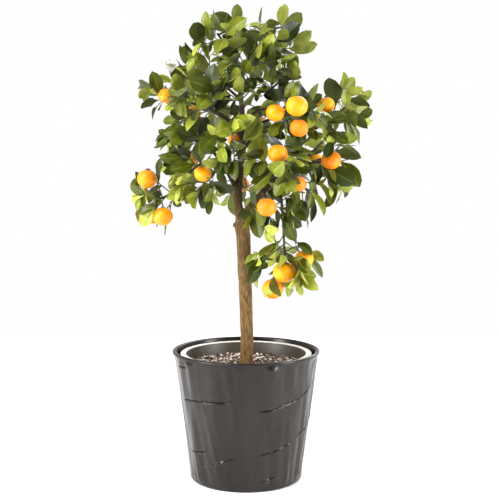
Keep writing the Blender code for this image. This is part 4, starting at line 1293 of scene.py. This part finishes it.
def leaf_tint(leaf, rng):
    """Which tint a leaf takes: by chance, lighter when short and younger, and painted shade inside
    the crown, painted light towards its rim.
    """
    root, along, _, length = leaf
    off = root + along * length * 0.5 - CROWN_MIDDLE
    reach = math.sqrt(off.x ** 2 + off.y ** 2 + (off.z * CROWN_FLAT) ** 2) / CROWN_REACH
    score = TINT_CHANCE * rng.random() + TINT_PAINTED_LIGHT_OUTWARD * reach - TINT_YOUNG * (length - TINT_LENGTH)
    return sum(score > step for step in TINT_STEPS)


def build_leaves(crown):
    """Every leaf of the crown, joined by tint."""
    rows, width, faces, slots = leaf_template()
    batches = [Batch() for _ in LEAF_TINTS]
    rng = random.Random("leaves")
    for mass in crown.values():
        for leaf in mass.leaves:
            batches[leaf_tint(leaf, rng)].add(leaf_shape(leaf, rng, rows, width), faces, slots)
    nodes = [name + "_foliage" for name in crown]
    for (tint, *colours), batch in zip(LEAF_TINTS, batches):
        finishes = [finish(tint + "_" + side, "leaf", colour, roughness=gloss)
                    for (side, gloss), colour in zip(LEAF_SIDES, colours)]
        batch.piece(tint + "_leaves", finishes, "foliage", nodes, LEAF_EDGES)


def build_twigs(crown):
    """Stems, twigs and fruit stalks."""
    batch = Batch()
    for mass in crown.values():
        batch.add_tube(mass.stem.points, mass.stem.radii, *STEM_MESH)
        for points, radii in mass.twigs:
            batch.add_tube(points, radii, *(TWIG_MESH if len(points) < 4 else STALK_MESH), 1)
    finishes = [finish("woody_twig", "twig", WOODY_TWIG), finish("green_twig", "twig", GREEN_TWIG)]
    batch.piece("twigs", finishes, "foliage", [name + "_foliage" for name in crown],
                ROUND_EDGES)


def dimple(shape, away):
    """How deep the rind is drawn in, at an angle away from the middle of a dimple."""
    depth, width = shape
    return depth * math.exp(-(away / width) ** 2)


def fruit_corners(centre, radius, rng):
    """The corners of an orange: flattened, dimpled at the stalk and slightly lobed."""
    spin = Matrix.Rotation(rng.uniform(0.0, FULL_TURN), 3, "Z")
    tip = Matrix.Rotation(rng.uniform(-FRUIT_TILT, FRUIT_TILT), 3, "X")
    corners = []
    for row in range(FRUIT_ROWS + 1):
        down = math.pi * (POLE_GAP + (1.0 - 2.0 * POLE_GAP) * row / FRUIT_ROWS)
        drawn = dimple(STALK_DIMPLE, down) + dimple(TIP_DIMPLE, math.pi - down)
        for column in range(FRUIT_COLUMNS):
            turn = FULL_TURN * column / FRUIT_COLUMNS
            lobes = 1.0 + LOBE_RISE * math.cos(LOBES * turn) * math.exp(-down)
            size = radius * (1.0 - drawn) * lobes
            point = Vector((math.sin(down) * math.cos(turn) * size,
                            math.sin(down) * math.sin(turn) * size,
                            math.cos(down) * size * FRUIT_FLATTENED))
            corners.append(tuple(centre + spin @ tip @ point))
    return corners


def calyx_corners(centre, radius, turn):
    """The middle and the ten points of a calyx, and the same a little lower."""
    top = centre + UP * radius * FRUIT_FLATTENED * CALYX_PLACE
    ring = [top + UP * CALYX_TOP]
    for index, (reach, lift) in enumerate(CALYX_POINTS):
        angle = turn + FULL_TURN * index / len(CALYX_POINTS)
        ring.append(top + Vector((math.cos(angle) * reach, math.sin(angle) * reach, lift)))
    return ring + [corner - UP * CALYX_THICKNESS for corner in ring]


def build_fruit(crown):
    """The oranges, in three tints, and the green star of the calyx on each."""
    rng = random.Random("fruit")
    rinds = Batch()
    stars = Batch()
    faces = [tuple(reversed(face)) for face in ring_faces(FRUIT_ROWS + 1, FRUIT_COLUMNS)]
    points = len(CALYX_POINTS)
    star = [(0, k, k % points + 1) for k in range(1, points + 1)]
    star = slab_faces(star, list(range(points, 0, -1)), points + 1)
    for mass in crown.values():
        for centre, radius in mass.fruit:
            corners = fruit_corners(centre, radius, rng)
            rinds.add(corners, faces, rng.choices(range(len(RINDS)), [row[0] for row in RINDS])[0])
            stars.add(calyx_corners(centre, radius, rng.uniform(0.0, math.pi)), star)
    nodes = sorted({name + "_foliage" for name, _, _ in FRUIT})
    finishes = [rind_finish("rind_" + str(index), deeper, colour)
                for index, (_, deeper, colour) in enumerate(RINDS)]
    rinds.piece("oranges", finishes, "foliage", nodes, ROUND_EDGES)
    stars.piece("calyxes", [finish("calyx", "twig", CALYX_GREEN)], "foliage", nodes, THIN_EDGES)


def build_blossom():
    """The small white flowers on the outer left, each with five petals round its stamens."""
    rng = random.Random("blossom")
    batch = Batch()
    for place in BLOSSOMS:
        middle = Vector(place)
        facing = Vector((rng.uniform(-FLOWER_TURN, FLOWER_TURN), FLOWER_FRONT,
                         rng.uniform(*FLOWER_RISE))).normalized()
        axes = square_to(facing)
        for petal in range(PETALS):
            out = swing(axes, FULL_TURN * petal / PETALS + rng.uniform(-PETAL_STRAY, PETAL_STRAY))
            side = facing.cross(out)
            sheet = [middle + (out * reach + side * wide * edge + facing * lift) * PETAL_LENGTH
                     for reach, wide, lift in PETAL_ROWS for edge in (-1.0, 1.0)]
            back = [corner - facing * PETAL_THICKNESS for corner in sheet]
            batch.add(sheet + back, sheet_faces(len(PETAL_ROWS), 2))
        for _ in range(STAMENS):
            lean = (facing + axes[0] * rng.uniform(-STAMEN_LEAN, STAMEN_LEAN)
                    + axes[1] * rng.uniform(-STAMEN_LEAN, STAMEN_LEAN))
            tip = middle + lean.normalized() * STAMEN_LENGTH
            batch.add_tube([middle, tip], STAMEN_RADII, *STAMEN_MESH, 1)
        halfway = BLOSSOM_FOOT.lerp(middle, 0.5) - UP * FLOWER_STALK_SAG
        batch.add_tube([BLOSSOM_FOOT, halfway, middle], BLOSSOM_STALK_RADII, *FLOWER_STALK_MESH, 2)
    finishes = [finish("petal", "leaf", PETAL_WHITE), finish("stamen", "leaf", STAMEN_YELLOW),
                finish("blossom_stalk", "twig", BLOSSOM_STALK_GREEN)]
    batch.piece("blossom", finishes, "foliage", ["outer_left_foliage"], THIN_EDGES)


# Studio

def build_sky():
    """Soft light all round, darker from the camera's side, before a plain white backdrop."""
    world = bpy.data.worlds.new("studio")
    world.use_nodes = True
    tree = world.node_tree
    front = add_node(tree, "VectorMath", [("operation", "DOT_PRODUCT")])
    set_input(front, 0, add_node(tree, "TexCoord").outputs["Generated"])
    set_input(front, 1, (0.0, -1.0, 0.0))
    shade = add_node(tree, "MapRange", [("interpolation_type", "SMOOTHSTEP")], From_Min=DARK_FROM,
                     From_Max=DARK_TO, To_Min=1.0, To_Max=DARK_SIDE, Value=front.outputs["Value"])
    light = tree.nodes["Background"]
    set_input(light, "Strength", AMBIENT)
    set_input(light, "Color", shade.outputs["Result"])
    backdrop = add_node(tree, "Background", Color=(1.0, 1.0, 1.0, 1.0), Strength=1.0)
    ray = add_node(tree, "LightPath").outputs["Is Camera Ray"]
    pick = add_node(tree, "MixShader", Fac=ray)
    set_input(pick, 1, light.outputs["Background"])
    set_input(pick, 2, backdrop.outputs["Background"])
    set_input(tree.nodes["World Output"], "Surface", pick.outputs["Shader"])
    bpy.context.scene.world = world


def build_studio():
    """A pale floor, the sky, soft boxes and a camera at the photograph's viewing angle."""
    mesh = bpy.data.meshes.new("floor")
    mesh.from_pydata([(x * FLOOR_HALF, y * FLOOR_HALF, 0.0)
                      for x, y in ((-1, -1), (1, -1), (1, 1), (-1, 1))], [], [(0, 1, 2, 3)])
    floor = put("floor", mesh)
    pale, shader = plain_finish("floor_white", FLOOR_WHITE, FLOOR_ROUGHNESS, FLOOR_SPECULAR)
    sizes, strength, height = FLOOR_BUMP
    add_bump(shader, noise_pattern(pale.node_tree, sizes), strength, height)
    set_input(shader, "Emission Color", (1.0, 1.0, 1.0, 1.0))
    set_input(shader, "Emission Strength", FLOOR_GLOW)
    mesh.materials.append(pale)
    build_sky()
    for name, place, size, power in SOFT_BOXES:
        lamp = bpy.data.lights.new(name, "AREA")
        lamp.shape = "RECTANGLE"
        lamp.size, lamp.size_y = size
        lamp.energy = power
        box = put(name, lamp)
        box.location = place
        box.rotation_euler = (LIT_MIDDLE - Vector(place)).to_track_quat("-Z", "Y").to_euler()
    lens = bpy.data.cameras.new("camera")
    lens.sensor_width = SENSOR_WIDTH
    lens.lens = SENSOR_WIDTH * FOCAL_PIXELS / FRAME_PIXELS
    camera = put("camera", lens)
    camera.location = CAMERA_PLACE
    camera.rotation_euler = (math.radians(90.0 - CAMERA_PITCH), 0.0, 0.0)
    bpy.context.scene.camera = camera
    bpy.context.scene.view_settings.view_transform = "Standard"


def main():
    build_studio()
    build_pot()
    build_liner()
    build_fines()
    build_gravel()
    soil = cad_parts["potting_soil"]
    soil.data.materials.clear()
    soil.data.materials.append(finish("soil", "grit", EARTH[0], EARTH, SOIL_SCALE))
    limbs = plan_limbs()
    taken = Taken()
    for limb in limbs.values():
        taken.add("limbs", tube_rings(limb.points, limb.radii, limb.sides, GAP))
    crown, shoots = grow_crown(limbs, taken)
    grow_fine(shoots, taken)
    build_bark(limbs)
    build_twigs(crown)
    build_leaves(crown)
    build_fruit(crown)
    build_blossom()


main()
